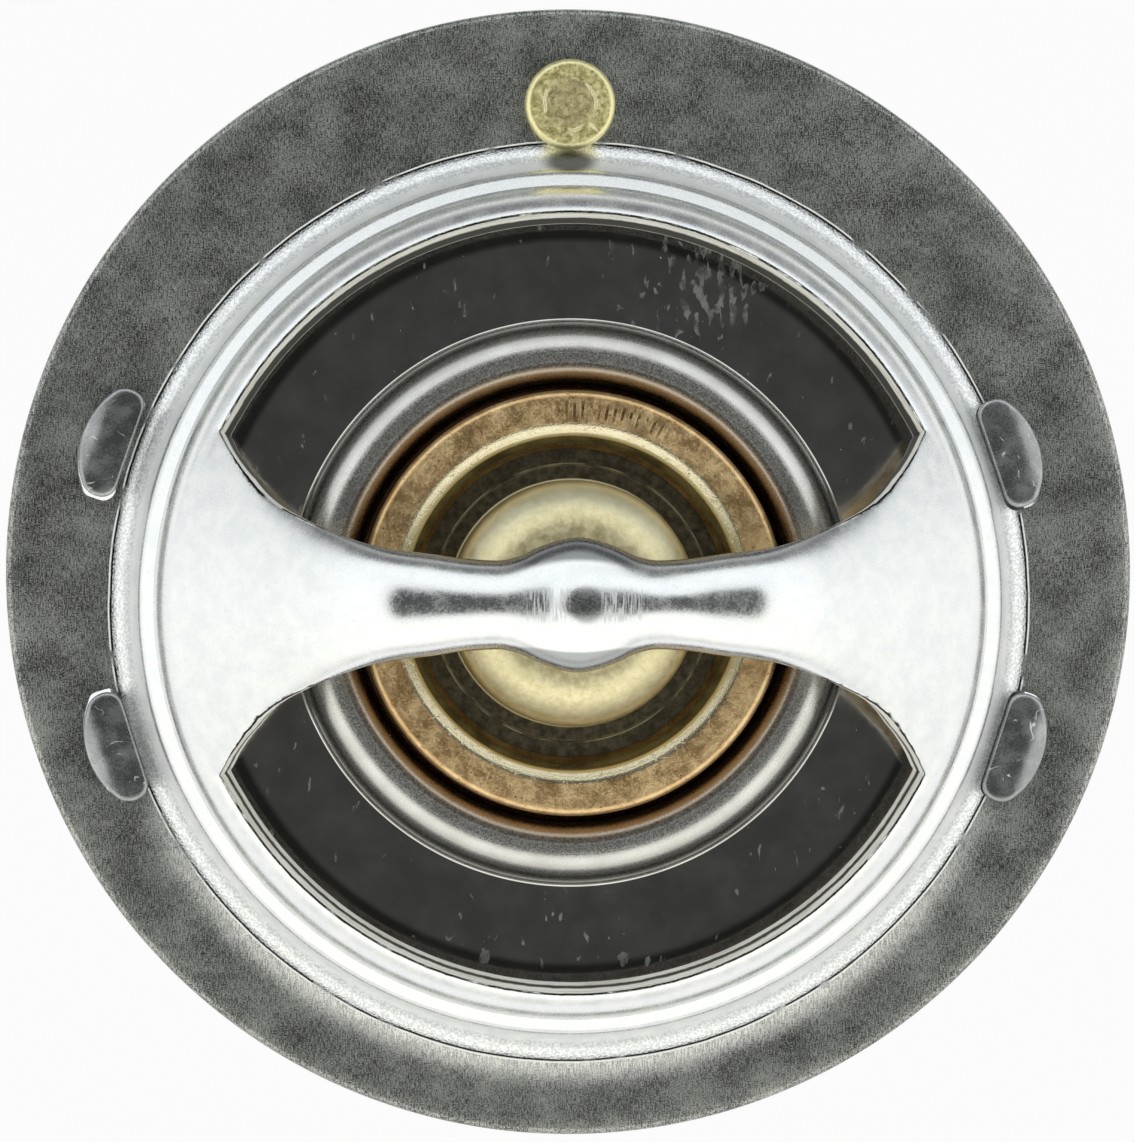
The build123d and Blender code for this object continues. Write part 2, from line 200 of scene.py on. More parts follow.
def edge_section(roll):
    """A press's edge across the sheet, as (out, height) points from its rolled side down."""
    sharp = min(BURR_ROUND, roll / 2)
    section = []
    for turn in np.linspace(0, math.pi / 2, ROLL_STEPS + 1)[1:]:
        section.append((roll * math.sin(turn), half - roll + roll * math.cos(turn)))
    for turn in np.linspace(0, math.pi / 2, BURR_STEPS + 1):
        section.append((roll - sharp + sharp * math.cos(turn), sharp - half - sharp * math.sin(turn)))
    return section


class Pressing:
    """A sheet under construction: rows of points along its middle, and the quads between them."""

    def __init__(self):
        self.points, self.quads, self.reach, self.edge_side = [], [], [], []

    def row(self, places, reach=0.0, edge_side=0.0):
        """Adds a row and returns its points' numbers. reach is the rounding of an edge there."""
        start, count = len(self.points), len(places)
        self.points += list(places)
        self.reach += list(np.broadcast_to(reach, count))
        self.edge_side += list(np.broadcast_to(edge_side, count))
        return list(range(start, start + count))

    def join(self, below, above):
        """Adds the quads between two rows."""
        self.quads += zip(below, below[1:], above[1:], above)

    def join_rings(self, rings):
        """Adds the quads between rows that run all the way round."""
        for below, above in zip(rings, rings[1:]):
            self.join(below + below[:1], above + above[:1])

    def thicken(self, name):
        """Makes the sheet a closed mesh that knows its cut's depth and its edges' sides."""
        points, quads = np.array(self.points), np.array(self.quads)
        corners = points[quads]
        facing = np.cross(corners[:, 2] - corners[:, 0], corners[:, 3] - corners[:, 1])
        normals = np.zeros_like(points)
        for corner in range(4):
            np.add.at(normals, quads[:, corner], facing)
        normals /= np.linalg.norm(normals, axis=1)[:, None]
        # Open edges belong to one quad only. Each runs with the sheet on its left.
        sides = dict.fromkeys(side for quad in self.quads for side in zip(quad, quad[1:] + quad[:1]))
        open_edges = [side for side in sides if side[::-1] not in sides]
        outward = np.zeros_like(points)
        for first, second in open_edges:
            along = points[second] - points[first]
            for end in (first, second):
                outward[end] += np.cross(along, normals[end]) / np.linalg.norm(along)
        ends = sorted({end for edge in open_edges for end in edge})
        outward[ends] /= np.linalg.norm(outward[ends], axis=1)[:, None]
        count = len(points)
        extra, depth, owner, strip = [], [], [], {}
        for end in ends:
            start = 2 * count + len(extra)
            for out, height in edge_section(self.reach[end]):
                extra.append(points[end] + outward[end] * out + normals[end] * height)
                depth.append(0.5 - height / sheet)
                owner.append(end)
            strip[end] = [end, *range(start, 2 * count + len(extra)), end + count]
        faces = self.quads + [tuple(corner + count for corner in quad[::-1]) for quad in self.quads]
        for first, second in open_edges:
            faces += zip(strip[second], strip[first], strip[first][1:], strip[second][1:])
        solid = [points + normals * half, points - normals * half, extra]
        piece = mesh_piece(name, np.concatenate(solid), faces)
        edge_side = np.array(self.edge_side)
        marks = {
            "cut_depth": np.concatenate([np.zeros(2 * count), depth]),
            "edge_side": np.concatenate([edge_side, edge_side, edge_side[owner]]),
        }
        for label, values in marks.items():
            piece.data.attributes.new(label, "FLOAT", "POINT").data.foreach_set("value", values)
        print(f"{name}: {len(piece.data.polygons)} faces")
        return piece


# %% [markdown]
# ## The body stamping
# Flange, stepped neck and bridge are pressed from one sheet. The neck is a ring of columns about the
# valve's axis. Where a column meets an arm of the bridge, it carries on over the arm instead of
# ending at the mouth, so the sheet stays whole across the bend, as the metal does.

# %% Profile of the neck
foot_radius, foot_bend = 20.65, 1.8
ledge_radius, ledge_height = 20.15, 1.5
step_radius, step_height = 19.4, 1.933
wall_radius, wall_height = 19.14, 3.58
mouth_radius, mouth_height = 18.32, 4.1
ledge_edge, ledge_bend, wall_bend = 0.15, 0.55, 2.0
crown_over_step = 0.35            # from the step up to where the crown begins
mouth_round = 0.12
arm_round = 0.3
corner_round, corner_fade = 0.06, 1.3    # rounding in the corner of mouth and arm, and its length

neck_line = rounded(
    [(foot_radius + foot_bend + 0.35, -half), (foot_radius, -half), (ledge_radius, ledge_height),
     (step_radius, step_height), (wall_radius, wall_height), (mouth_radius, mouth_height)],
    [foot_bend, ledge_edge, ledge_bend, wall_bend],
    steps=9,
)
crown_start = max(k for k, point in enumerate(neck_line) if point[1] < step_height + crown_over_step)
crown = np.array(neck_line[crown_start:])
neck_line = neck_line[:crown_start + 1]
crown_run = np.concatenate([[0], np.cumsum(np.linalg.norm(np.diff(crown, axis=0), axis=1))])
print("neck profile:", len(neck_line), "points up to the crown,", len(crown), "in it")

# %% Shape of the bridge
ridge_height = 12.3
ridge_reach, arm_bend = 8.0, 3.0
boss_half_width = 2.95
boss_disc, boss_disc_edge, boss_disc_height = 0.75, 1.05, 0.115
boss_disc_x, boss_disc_tail = 0.37, 0.3   # its middle, and how much gentler it falls on that side
boss_swell, boss_swell_height = 2.6, 0.19
edge_drop, edge_roll, roll_power = 0.72, 0.45, 11
root_half_width = 8.0
root_angle = math.asin(root_half_width / mouth_radius)
root_reach = math.sqrt(mouth_radius**2 - root_half_width**2)
arm_foot = (18.9, 4.28)           # where an arm's upper face leaves the neck
arm_outline = [
    (0.0, boss_half_width), (1.4, 2.62), (2.6, 2.08), (3.7, 1.87), (5.2, 1.95), (6.65, 2.15),
    (9.6, 2.6), (12.65, 3.8), (14.85, 5.3), (15.85, 6.6),
]


def arm_fall(distance):
    """How far the arm lies under the ridge, at a distance from the valve's axis."""
    out = np.maximum(0, (distance - ridge_reach) / (arm_foot[0] - ridge_reach))
    bend = np.hypot(1, arm_bend * out) - 1
    return (ridge_height - arm_foot[1]) * bend / (math.hypot(1, arm_bend) - 1)


def arm_slope(distance, step=0.05):
    """How steeply the arm falls at a distance from the valve's axis."""
    return (arm_fall(distance + step) - arm_fall(distance - step)) / (2 * step)


def dome(distance, reach):
    """A rounded hill one unit high that ends at its reach."""
    return (1 + np.cos(np.pi * np.clip(distance / reach, 0, 1))) / 2


def arm_mid_height(x, y, share):
    """Height of the middle of the sheet over a place in plan, share being 1 at the arm's edge."""
    distance = np.hypot(x, y)
    from_disc = x - boss_disc_x
    from_disc = np.hypot(np.where(from_disc > 0, from_disc * boss_disc_tail, from_disc), y)
    boss = boss_disc_height * dome(np.maximum(0, from_disc - boss_disc), boss_disc_edge)
    boss = boss + boss_swell_height * dome(distance, boss_swell)
    root = np.clip((np.abs(x) - ridge_reach) / (root_reach - ridge_reach), 0, 1)
    power = roll_power * (1 + 0.5 * dome(np.abs(x), boss_half_width))
    drops = (edge_drop * share**2 + edge_roll * share**power) * (1 - root) ** 1.3
    return ridge_height - arm_fall(distance) + boss - drops - half * np.hypot(1, arm_slope(distance))


# %% Outline of an arm
def smooth_curve(knots, places):
    """Monotone cubic through the knots."""
    knots = np.array(knots, float)
    run = np.diff(knots[:, 0])
    rise = np.diff(knots[:, 1]) / run
    slopes = np.concatenate([[0], (rise[1:] + rise[:-1]) / 2, [rise[-1]]])
    slopes[1:-1][rise[1:] * rise[:-1] <= 0] = 0
    spot = np.clip(np.searchsorted(knots[:, 0], places, side="right") - 1, 0, len(run) - 1)
    share = (places - knots[spot, 0]) / run[spot]
    first = (1 + 2 * share) * (1 - share) ** 2 * knots[spot, 1]
    second = share**2 * (3 - 2 * share) * knots[spot + 1, 1]
    lead = share * (1 - share) ** 2 * run[spot] * slopes[spot]
    trail = share**2 * (share - 1) * run[spot] * slopes[spot + 1]
    return first + second + lead + trail


# The outline's points are moved from the sheet's upper face to its middle.
arm_knots = []
for x, width in arm_outline:
    distance = math.hypot(x, width)
    lean = half * math.sin(math.atan(arm_slope(distance))) / distance
    arm_knots.append((x - x * lean, width - width * lean))
arm_knots.append((root_reach, root_half_width))
print("arm outline:", len(arm_knots), "knots")

# %% Columns of the stamping, and its flange and neck
ARM_COLUMNS = 60                  # across an arm's root
WINDOW_COLUMNS = 260              # round each half of the mouth
FLANGE_ROWS, WALL_ROWS = 4, 10
half_turn = ARM_COLUMNS + WINDOW_COLUMNS
arm_angles = np.linspace(-root_angle, root_angle, ARM_COLUMNS + 1)
window_angles = np.linspace(root_angle, math.pi - root_angle, WINDOW_COLUMNS + 1)
column_angles = np.concatenate([arm_angles[:-1], window_angles[:-1]])
column_angles = np.concatenate([column_angles, column_angles + math.pi])
arm_run = crown_run[-1] - 0.38    # run along the crown where the middle of an arm leaves it

# Flange rows run from the rim's own circle in to the neck's foot.
body = Pressing()
to_rim = -valve_y * np.sin(column_angles)
outer = to_rim + np.sqrt(to_rim**2 - valve_y**2 + (rim_radius - arm_round) ** 2)
rows = []
for row in range(FLANGE_ROWS):
    radius = outer + (neck_line[0][0] - outer) * row / FLANGE_ROWS
    rows.append(body.row(around(column_angles, radius, -half), arm_round))
for radius, height in neck_line:
    rows.append(body.row(around(column_angles, radius, height)))


def edge_reach(away):
    """Share of its full rounding that an edge has, at a distance from the mouth's corner."""
    return np.minimum(1.0, away / corner_fade)


# Above the ledge each column climbs the crown to the mouth, or to where its arm begins.
place = np.arange(2 * half_turn) % half_turn
across_arm = np.abs(2 * place / ARM_COLUMNS - 1)
along_mouth = np.minimum(place - ARM_COLUMNS, half_turn - place) / WINDOW_COLUMNS
away = np.maximum(0, along_mouth) * (math.pi - 2 * root_angle) * mouth_radius
crown_end = crown_run[-1] - (crown_run[-1] - arm_run) * (1 - np.minimum(1, across_arm) ** 4)
mouth_edge = corner_round + (mouth_round - corner_round) * edge_reach(away)
for row in range(1, WALL_ROWS + 1):
    run = crown_end * row / WALL_ROWS
    radius, height = np.interp(run, crown_run, crown[:, 0]), np.interp(run, crown_run, crown[:, 1])
    rows.append(body.row(around(column_angles, radius, height), mouth_edge))
body.join_rings(rows)
print("neck and flange:", len(body.points), "points")

# %% Arms of the bridge
# Row by row an arm runs from its root on the crown to the boss, its columns fanning in as it narrows.
ARM_ROWS, JOIN_ROWS = 88, 3       # from root to boss, and from the crown to the arm's own rows
EDGE_SHADE_WIDTH = 1.5            # how far in from an arm's edge its roll is marked
EDGE_SHADE_END, EDGE_SHADE_FADE = 14.5, 2.5    # where the mark ends towards the root
ARM_SLANT = 1.2                   # run along an arm's edge for each mm along its middle
curl_start = 11.0                 # from here on the rows bend towards the mouth's own arc
root_along = root_reach - 0.25
shares = np.sin(arm_angles) / math.sin(root_angle)


def arm_plan(side, along):
    """Places in plan of one row across an arm, along being the distance from the axis."""
    rounding = arm_round * edge_reach((root_reach - along) * ARM_SLANT)
    width = smooth_curve(arm_knots, np.array([along]))[0] - max(corner_round, rounding)
    curl = np.clip((along - curl_start) / (root_reach - curl_start), 0, 1) ** 2
    sag = np.sqrt(mouth_radius**2 - (root_half_width * shares) ** 2) - root_reach
    return side * (along + sag * curl), side * width * shares


def beside_edge(x, y):
    """1 at an arm's +Y edge, -1 at its -Y edge and 0 further in, fading at the root."""
    width = smooth_curve(arm_knots, np.hypot(x, y)) - arm_round
    share = np.maximum(0, 1 - np.maximum(0, width - np.abs(y)) / EDGE_SHADE_WIDTH)
    return np.copysign(share * np.clip((EDGE_SHADE_END - np.abs(x)) / EDGE_SHADE_FADE, 0, 1), y)


for side, first in ((1, 0), (-1, half_turn)):
    last = [rows[-1][(first + step) % (2 * half_turn)] for step in range(ARM_COLUMNS + 1)]
    root = np.array([body.points[number] for number in last])
    arm = []
    for row in range(ARM_ROWS + 1):
        x, y = arm_plan(side, root_along * (1 - row / ARM_ROWS))
        arm.append(np.stack([x, valve_y + y, arm_mid_height(x, y, np.abs(shares))], axis=1))
    # Rows that join the crown to the arm lie on the arm's own surface.
    off = root[:, 2] - arm_mid_height(root[:, 0], root[:, 1] - valve_y, np.abs(shares))
    join = []
    for step in range(1, JOIN_ROWS):
        places = root + (arm[0] - root) * step / JOIN_ROWS
        places[:, 2] = arm_mid_height(places[:, 0], places[:, 1] - valve_y, np.abs(shares))
        places[:, 2] += off * (1 - step / JOIN_ROWS) ** 2
        join.append(places)
    for step, places in enumerate(join + arm):
        away = root_along * max(0, step + 1 - JOIN_ROWS) / ARM_ROWS
        rounding = max(corner_round, arm_round * edge_reach(away * ARM_SLANT))
        if side == -1 and places is arm[-1]:
            row = middle_row[::-1]
        else:
            row = body.row(places, rounding, beside_edge(places[:, 0], places[:, 1] - valve_y))
        body.join(last, row)
        last = row
    middle_row = last
stamping = body.thicken("stamping")

# %% [markdown]
# ## Slots and vent hole
# Four slots let the cage's tabs through the flange, and one round hole takes the jiggle pin. They are
# punched after the drawing, so here they are cut after the sheet is made, with Boolean modifiers.

# %% Tab outline
tab_angle = 18.2                  # of the tabs either side of each leg's middle, in degrees
tab_root = 21.33                  # from the valve's axis to a tab's inner side
tab_half_length, tab_reach, tab_nose = 2.68, 2.35, 4.1
nose_turn = 27                    # degrees of the nose's arc either side of its middle
# Staking has left each head a little out of place: outwards in mm, turned in degrees, with its slot
# showing past it by x and y in the head's own directions.
tab_slips = [
    (0.05, 0.6, -0.03, -0.09), (0.2, 0.0, -0.03, 0.05), (0.53, -0.5, 0.0, -0.1), (0.96, 1.1, 0.02, 0.12),
]


def tab_outline(grow=0.0, inner_corner=0.6, outer_corner=0.45):
    """Outline of a staked head in its own place: straight inner side at x = 0, round nose outwards."""
    end, nose = tab_half_length + grow, tab_nose + grow
    middle = tab_reach - tab_nose
    shoulder = middle + math.sqrt(nose**2 - end**2)
    turns = [math.radians(degrees) for degrees in np.linspace(-nose_turn, nose_turn, 13)]
    corners = [(-grow, 0), (-grow, -end), (shoulder, -end)]
    corners += [(middle + nose * math.cos(turn), nose * math.sin(turn)) for turn in turns]
    corners += [(shoulder, end), (-grow, end), (-grow, 0)]
    radii = [inner_corner, outer_corner] + [0] * len(turns) + [outer_corner, inner_corner]
    return rounded(corners, radii, steps=6)[:-1]


print("a tab's outline:", len(tab_outline()), "points")


# %% Cut the slots and the vent hole
def settle(piece):
    """Applies a piece's modifiers by replacing its mesh with the evaluated one."""
    depsgraph = bpy.context.evaluated_depsgraph_get()
    mesh = bpy.data.meshes.new_from_object(piece.evaluated_get(depsgraph))
    piece.modifiers.clear()
    piece.data = mesh


def punch(piece, outline):
    """Cuts an upright hole with a closed outline through the flange."""
    count = len(outline)
    corners = [(x, y, z) for z in (-sheet - 1, ledge_height) for x, y in outline]
    sides = [(k, (k + 1) % count, count + (k + 1) % count, count + k) for k in range(count)]
    caps = [tuple(reversed(range(count))), tuple(range(count, 2 * count))]
    cutter = mesh_piece("punch", corners, sides + caps)
    boolean = piece.modifiers.new("punch", "BOOLEAN")
    boolean.operation = "DIFFERENCE"
    boolean.solver = "EXACT"
    boolean.object = cutter
    settle(piece)
    bpy.data.objects.remove(cutter)


slot_clearance = 0.02
hole_radius = 1.3
for number, (out, turned_by, slot_x, slot_y) in enumerate(tab_slips):
    sign = 1 if number % 2 == 0 else -1
    turn = math.radians(180 * (number // 2) + sign * (tab_angle + turned_by))
    spin = np.array([[math.cos(turn), -math.sin(turn)], [math.sin(turn), math.cos(turn)]])
    corner = (tab_root + out + slot_x, slot_y)
    punch(stamping, [spin @ (point + corner) + (0, valve_y) for point in tab_outline(slot_clearance)])
hole_angles = np.linspace(0, math.tau, 64, endpoint=False)
punch(stamping, [place[:2] for place in around(hole_angles, hole_radius, 0, pin_y)])
stamping.data.set_sharp_from_angle(angle=SHARP_ANGLE)
print("stamping with its slots:", len(stamping.data.polygons), "faces")

# %% [markdown]
# ## The spring cage
# Two legs and a floor are pressed from one sheet too, so the same rows make them: rings for the floor
# with its collar, and a strip up each leg where the ring's columns fan out.

# %% Cage
LEG_COLUMNS, REST_COLUMNS, LEG_STEP = 40, 64, 0.8
cage_radius, cage_bend_height = 21.95, -13.5
cage_floor_radius, cage_floor_height = 12.8, -20.5
cage_hole_radius, cage_collar = 8.35, 2.3
leg_half_width, leg_foot_half_width, leg_taper = 9.7, 7.0, -6.0
cage_edge = 0.14
cage_line = rounded(
    [(cage_hole_radius, cage_floor_height - cage_collar + cage_edge),
     (cage_hole_radius, cage_floor_height), (cage_floor_radius, cage_floor_height),
     (cage_radius, cage_bend_height), (cage_radius, -sheet - cage_edge)],
    [0.9, 2.0, 2.0],
)
floor_line = [point for point in cage_line if point[0] < cage_floor_radius - 0.1]
leg_line = cage_line[len(floor_line):]
foot_angle = math.asin((leg_foot_half_width - cage_edge) / floor_line[-1][0])
leg_angles = np.linspace(-foot_angle, foot_angle, LEG_COLUMNS + 1)
rest_angles = np.linspace(foot_angle, math.pi - foot_angle, REST_COLUMNS + 1)
ring_angles = np.concatenate([leg_angles[:-1], rest_angles[:-1]])
ring_angles = np.concatenate([ring_angles, ring_angles + math.pi])


def resampled(line, spacing):
    """The same line with points no further apart than the spacing."""
    result = [line[0]]
    for first, second in zip(line, line[1:]):
        count = max(1, math.ceil(np.linalg.norm(second - first) / spacing))
        result += [first + (second - first) * part / count for part in range(1, count + 1)]
    return result


def leg_width(height):
    """Half width of a leg at a height."""
    share = min(1, max(0, (height - leg_taper) / (cage_floor_height - leg_taper)))
    return leg_half_width + (leg_foot_half_width - leg_half_width) * share - cage_edge


cage_sheet = Pressing()
rings = [cage_sheet.row(around(ring_angles, *point), cage_edge) for point in floor_line]
cage_sheet.join_rings(rings)
for side, first in ((1, 0), (-1, LEG_COLUMNS + REST_COLUMNS)):
    last = [rings[-1][(first + step) % len(ring_angles)] for step in range(LEG_COLUMNS + 1)]
    for radius, height in resampled(leg_line, LEG_STEP):
        y = side * leg_width(height) * np.sin(leg_angles) / math.sin(foot_angle)
        places = np.broadcast_arrays(side * np.sqrt(radius**2 - y**2), valve_y + y, height)
        row = cage_sheet.row(np.stack(places, axis=-1), cage_edge)
        cage_sheet.join(last, row)
        last = row
cage = cage_sheet.thicken("spring_cage")

# %% [markdown]
# ## Staked tabs
# Each tab comes up through its slot and is struck with a punch, which spreads it outwards into a
# D-shaped head with a sloping outer facet. All four are struck alike, so one head is made, and a
# Geometry Nodes tree places a copy at each slot.

# %% One staked head
facet_line, facet_slope, facet_bend = 1.6, 0.26, 0.25
head_crown = 0.006                # how much a head's top falls towards its two ends
HEAD_EDGE = [(0.0, 0.10), (0.012, 0.05), (0.03, 0.02), (0.055, 0.0)]   # inset and depth of its rim
HEAD_RINGS = 9
outline = np.array(tab_outline(0.0, 0.75, 0.95))
middle = np.array([tab_reach / 2 - 0.1, 0.0])


def head_ring(inset, lower=0.0):
    """The outline drawn in towards its middle by a share, on the head's facetted top."""
    ring = []
    for x, y in outline + (middle - outline) * inset:
        past = x - facet_line
        facet = facet_slope * (past + math.hypot(past, facet_bend)) / 2
        ring.append((x, y, cage_high.z - facet - head_crown * y * y - lower))
    return ring


head_rings = [[(*middle, 0.0)], [(*point, 0.0) for point in outline]]
head_rings += [head_ring(inset, lower) for inset, lower in HEAD_EDGE]
head_rings += [head_ring(inset) for inset in np.linspace(0.12, 0.9, HEAD_RINGS)]
head = skin("staked_head", head_rings + [head_ring(1.0)[:1]])
print("one head:", len(head.data.polygons), "faces")

# %% [markdown]
# ## Sums made of nodes
# A node tree is easier to read as a sum than as a web of links. A `Field` stands for a node's output,
# so `a * 0.3 + b` adds the two Math nodes that it says, and `a | b` is the larger of two shares.

# %% Node helpers
def fill(socket, value):
    """Links a field to a socket, or sets the socket to a constant. None leaves it as it is."""
    if isinstance(value, Field):
        value.tree.links.new(value.socket, socket)
    elif value is not None:
        socket.default_value = (*value, 1) if socket.type == "RGBA" else value


def wire(tree, kind, *inputs, output=0, named=None, **settings):
    """Adds a node, sets it, fills its inputs in order or by name, and returns one output."""
    node = tree.nodes.new(kind)
    for name, value in settings.items():
        setattr(node, name, value)
    for socket, value in zip(node.inputs, inputs):
        fill(socket, value)
    for name, value in (named or {}).items():
        fill(node.inputs[name], value)
    return Field(node.outputs[output])


class Field:
    """One output of a node, which can be added, scaled, shaped and mixed like a number."""

    def __init__(self, socket):
        self.socket, self.tree = socket, socket.id_data

    def math(self, operation, *others, **settings):
        kind = "ShaderNodeVectorMath" if self.socket.type == "VECTOR" else "ShaderNodeMath"
        return wire(self.tree, kind, self, *others, operation=operation, **settings)

    def __add__(self, other):
        return self.math("ADD", other)

    def __sub__(self, other):
        return self.math("SUBTRACT", other)

    def __mul__(self, other):
        return self.math("MULTIPLY", other)

    def __or__(self, other):
        return self.math("MAXIMUM", other)

    def __abs__(self):
        return self.math("ABSOLUTE")

    def length(self):
        return self.math("LENGTH", output=1)

    def parts(self):
        """The X, Y and Z of a vector."""
        node = self.tree.nodes.new("ShaderNodeSeparateXYZ")
        fill(node.inputs[0], self)
        return [Field(output) for output in node.outputs]

    def ramp(self, low, high, first=0.0, last=1.0, kind="SMOOTHSTEP"):
        """A smooth or LINEAR step from one value to another."""
        return wire(self.tree, "ShaderNodeMapRange", self, low, high, first, last, interpolation_type=kind)

    def band(self, middle, width):
        """1 in the middle of a band, 0 past its width."""
        return abs(self - middle).ramp(width, 0.35 * width)

    def blend(self, first, second):
        """Two numbers mixed by this share."""
        return wire(self.tree, "ShaderNodeMix", self, None, first, second)

    def mix(self, first, second):
        """Two colours mixed by this share."""
        node = self.tree.nodes.new("ShaderNodeMix")
        node.data_type = "RGBA"
        for number, value in ((0, self), (6, first), (7, second)):
            fill(node.inputs[number], value)
        return Field(node.outputs[2])


def joined(tree, *parts):
    """A vector with the given X, Y and Z."""
    return wire(tree, "ShaderNodeCombineXYZ", *parts)


# %% Geometry Nodes helper
SOCKET_KINDS = {
    float: "NodeSocketFloat", tuple: "NodeSocketVector",
    bpy.types.Object: "NodeSocketObject", bpy.types.Material: "NodeSocketMaterial",
}


class GeometryTree:
    """A Geometry Nodes tree with a named input for each value that it is given."""

    def __init__(self, name, values):
        self.tree = bpy.data.node_groups.new(name, "GeometryNodeTree")
        self.values = {}
        for label, value in values.items():
            kind = SOCKET_KINDS[type(value)]
            socket = self.tree.interface.new_socket(label, in_out="INPUT", socket_type=kind)
            self.values[socket.identifier] = value
        self.tree.interface.new_socket("Geometry", in_out="OUTPUT", socket_type="NodeSocketGeometry")
        given = self.tree.nodes.new("NodeGroupInput").outputs
        self.given = {label: Field(given[label]) for label in values}

    def grow(self, name, geometry, finish):
        """Ends the tree in real geometry with its finish, and returns that as a plain mesh object."""
        solid = wire(self.tree, "GeometryNodeRealizeInstances", geometry)
        finished = wire(self.tree, "GeometryNodeSetMaterial", solid, None, finish)
        fill(self.tree.nodes.new("NodeGroupOutput").inputs[0], finished)
        piece = bpy.data.objects.new(name, bpy.data.meshes.new(name))
        bpy.context.scene.collection.objects.link(piece)
        modifier = piece.modifiers.new("nodes", "NODES")
        modifier.node_group = self.tree
        for identifier, value in self.values.items():
            modifier[identifier] = value
        settle(piece)
        print(f"{name}: {len(piece.data.polygons)} faces")
        return piece


# %% [markdown]
# ## Finishes
# Every metal here is built from patterns on Object coordinates: the rolling streaks and specks of the
# flange, the satin of the pressed neck, stains on the mirror of the valve plate, tarnish on the
# copper. A `Look` starts from a clean metal and is painted over, one share of it at a time.

# %% Look
class Look:
    """A metal under construction: its patterns, and its colour and roughness so far."""

    def __init__(self, name, metallic=1.0):
        self.material = bpy.data.materials.new(name)
        self.material.use_nodes = True
        self.tree = self.material.node_tree
        self.shader = self.tree.nodes["Principled BSDF"]
        self.shader.inputs["Metallic"].default_value = metallic
        place = wire(self.tree, "ShaderNodeTexCoord", output="Object")
        self.place = place.math("SCALE", None, None, 1 / MM) - (0.0, valve_y, 0.0)
        self.x, self.y, self.z = self.place.parts()
        self.radius = (self.place * (1, 1, 0)).length()

    def attribute(self, name):
        """A number that the mesh keeps for each of its points."""
        return wire(self.tree, "ShaderNodeAttribute", attribute_name=name, output="Fac")

    def noise(self, scale, detail=2.0, stretch=(1, 1, 1), place=None, rough=0.5, twist=0.0):
        """Noise of about so many features a millimetre, 0.5 on average."""
        return wire(self.tree, "ShaderNodeTexNoise", named={
            "Vector": (place or self.place) * stretch, "Scale": scale, "Detail": detail,
            "Roughness": rough, "Distortion": twist,
        })

    def specks(self, scale, size):
        """Round specks, one in each cell of a Voronoi pattern, 1 at the middle of a speck."""
        cells = wire(self.tree, "ShaderNodeTexVoronoi", named={"Vector": self.place, "Scale": scale})
        return cells.ramp(size * scale, 0.3 * size * scale)

    def paint(self, share, colour=None, rough=None):
        """Covers a share of the metal with a colour, a roughness or both."""
        if colour is not None:
            self.colour = share.mix(self.colour, colour)
        if rough is not None:
            self.rough = share.blend(self.rough, rough)

    def wear(self, relief, depth, strength=1.0, metallic=None):
        """Gives the shader all that was painted, and a relief, and returns the material."""
        normal = wire(self.tree, "ShaderNodeBump", named={
            "Strength": strength, "Distance": depth * MM, "Height": relief,
        })
        found = {"Base Color": self.colour, "Roughness": self.rough, "Normal": normal, "Metallic": metallic}
        for name, value in found.items():
            fill(self.shader.inputs[name], value)
        print(f"{self.material.name}: {len(self.tree.nodes)} nodes")
        return self.material


looks = {}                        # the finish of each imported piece

# %% Body steel: the rolled flange
look = Look("body_steel")
foot_line = 22.04                 # radius where the neck's foot meets the flange, with a painted bright and dark line round it
on_flange = look.radius.ramp(foot_line - 0.09, foot_line + 0.08)
# Streaks from rolling run along Y, with fine grain, clouds and bright specks of scale.
grain = look.noise(14.0, 3.0, rough=0.75)
tone = look.noise(9.0, 2.0, (1.8, 0.3, 1)) * 0.3 + grain * 0.7 + look.noise(0.45, 3.0) * 0.2
flange_colour = tone.ramp(0.5, 0.7).mix((0.085, 0.09, 0.085), (0.56, 0.57, 0.53))
# On the -Y side the sheet catches the light where it turns up into the foot.
near_neck = look.radius.ramp(23.9, 22.1)
lit = look.noise(6.0, 3.0, (2.2, 0.35, 1), rough=0.65).ramp(0.38, 0.62, 0.45, 1.25)
lit = lit * grain.ramp(0.4, 0.52, 0.55, 1.0) * look.y.ramp(-6.0, -19.0)
glow = (near_neck * near_neck).math("MULTIPLY", lit, use_clamp=True)
flange_colour = glow.mix(flange_colour, (0.97, 0.97, 0.93))
flange_rough = glow.blend(tone.ramp(0.4, 0.8, 0.28, 0.42), 0.95)
flecks = (look.specks(0.32, 0.075) | look.specks(1.3, 0.035)) * on_flange
flecks = flecks * look.noise(0.9, 1.0).ramp(0.42, 0.5)
print("flange patterns:", len(look.tree.nodes), "nodes")

# %% Body steel: the neck and bridge
# Satin with grey mottles and fine dark grain, and a speckled foot.
mottle = look.noise(1.1, 4.0, rough=0.65)
satin = look.noise(9.0, 2.0, rough=0.7)
pepper = look.noise(6.5, 3.0, rough=0.75).ramp(0.62, 0.74)
look.colour = mottle.ramp(0.3, 0.7).mix((0.87, 0.89, 0.9), (0.98, 0.985, 0.97))
look.rough = (mottle + satin).ramp(0.7, 1.3, 0.18, 0.32)
look.paint(pepper * 0.35, (0.45, 0.47, 0.47))
foot = look.radius.ramp(20.95, 21.2) * look.radius.ramp(22.1, 21.95)
foot_grain = foot * look.noise(8.0, 2.0).ramp(0.38, 0.62)
look.paint(foot_grain * 0.6, (0.52, 0.53, 0.53))
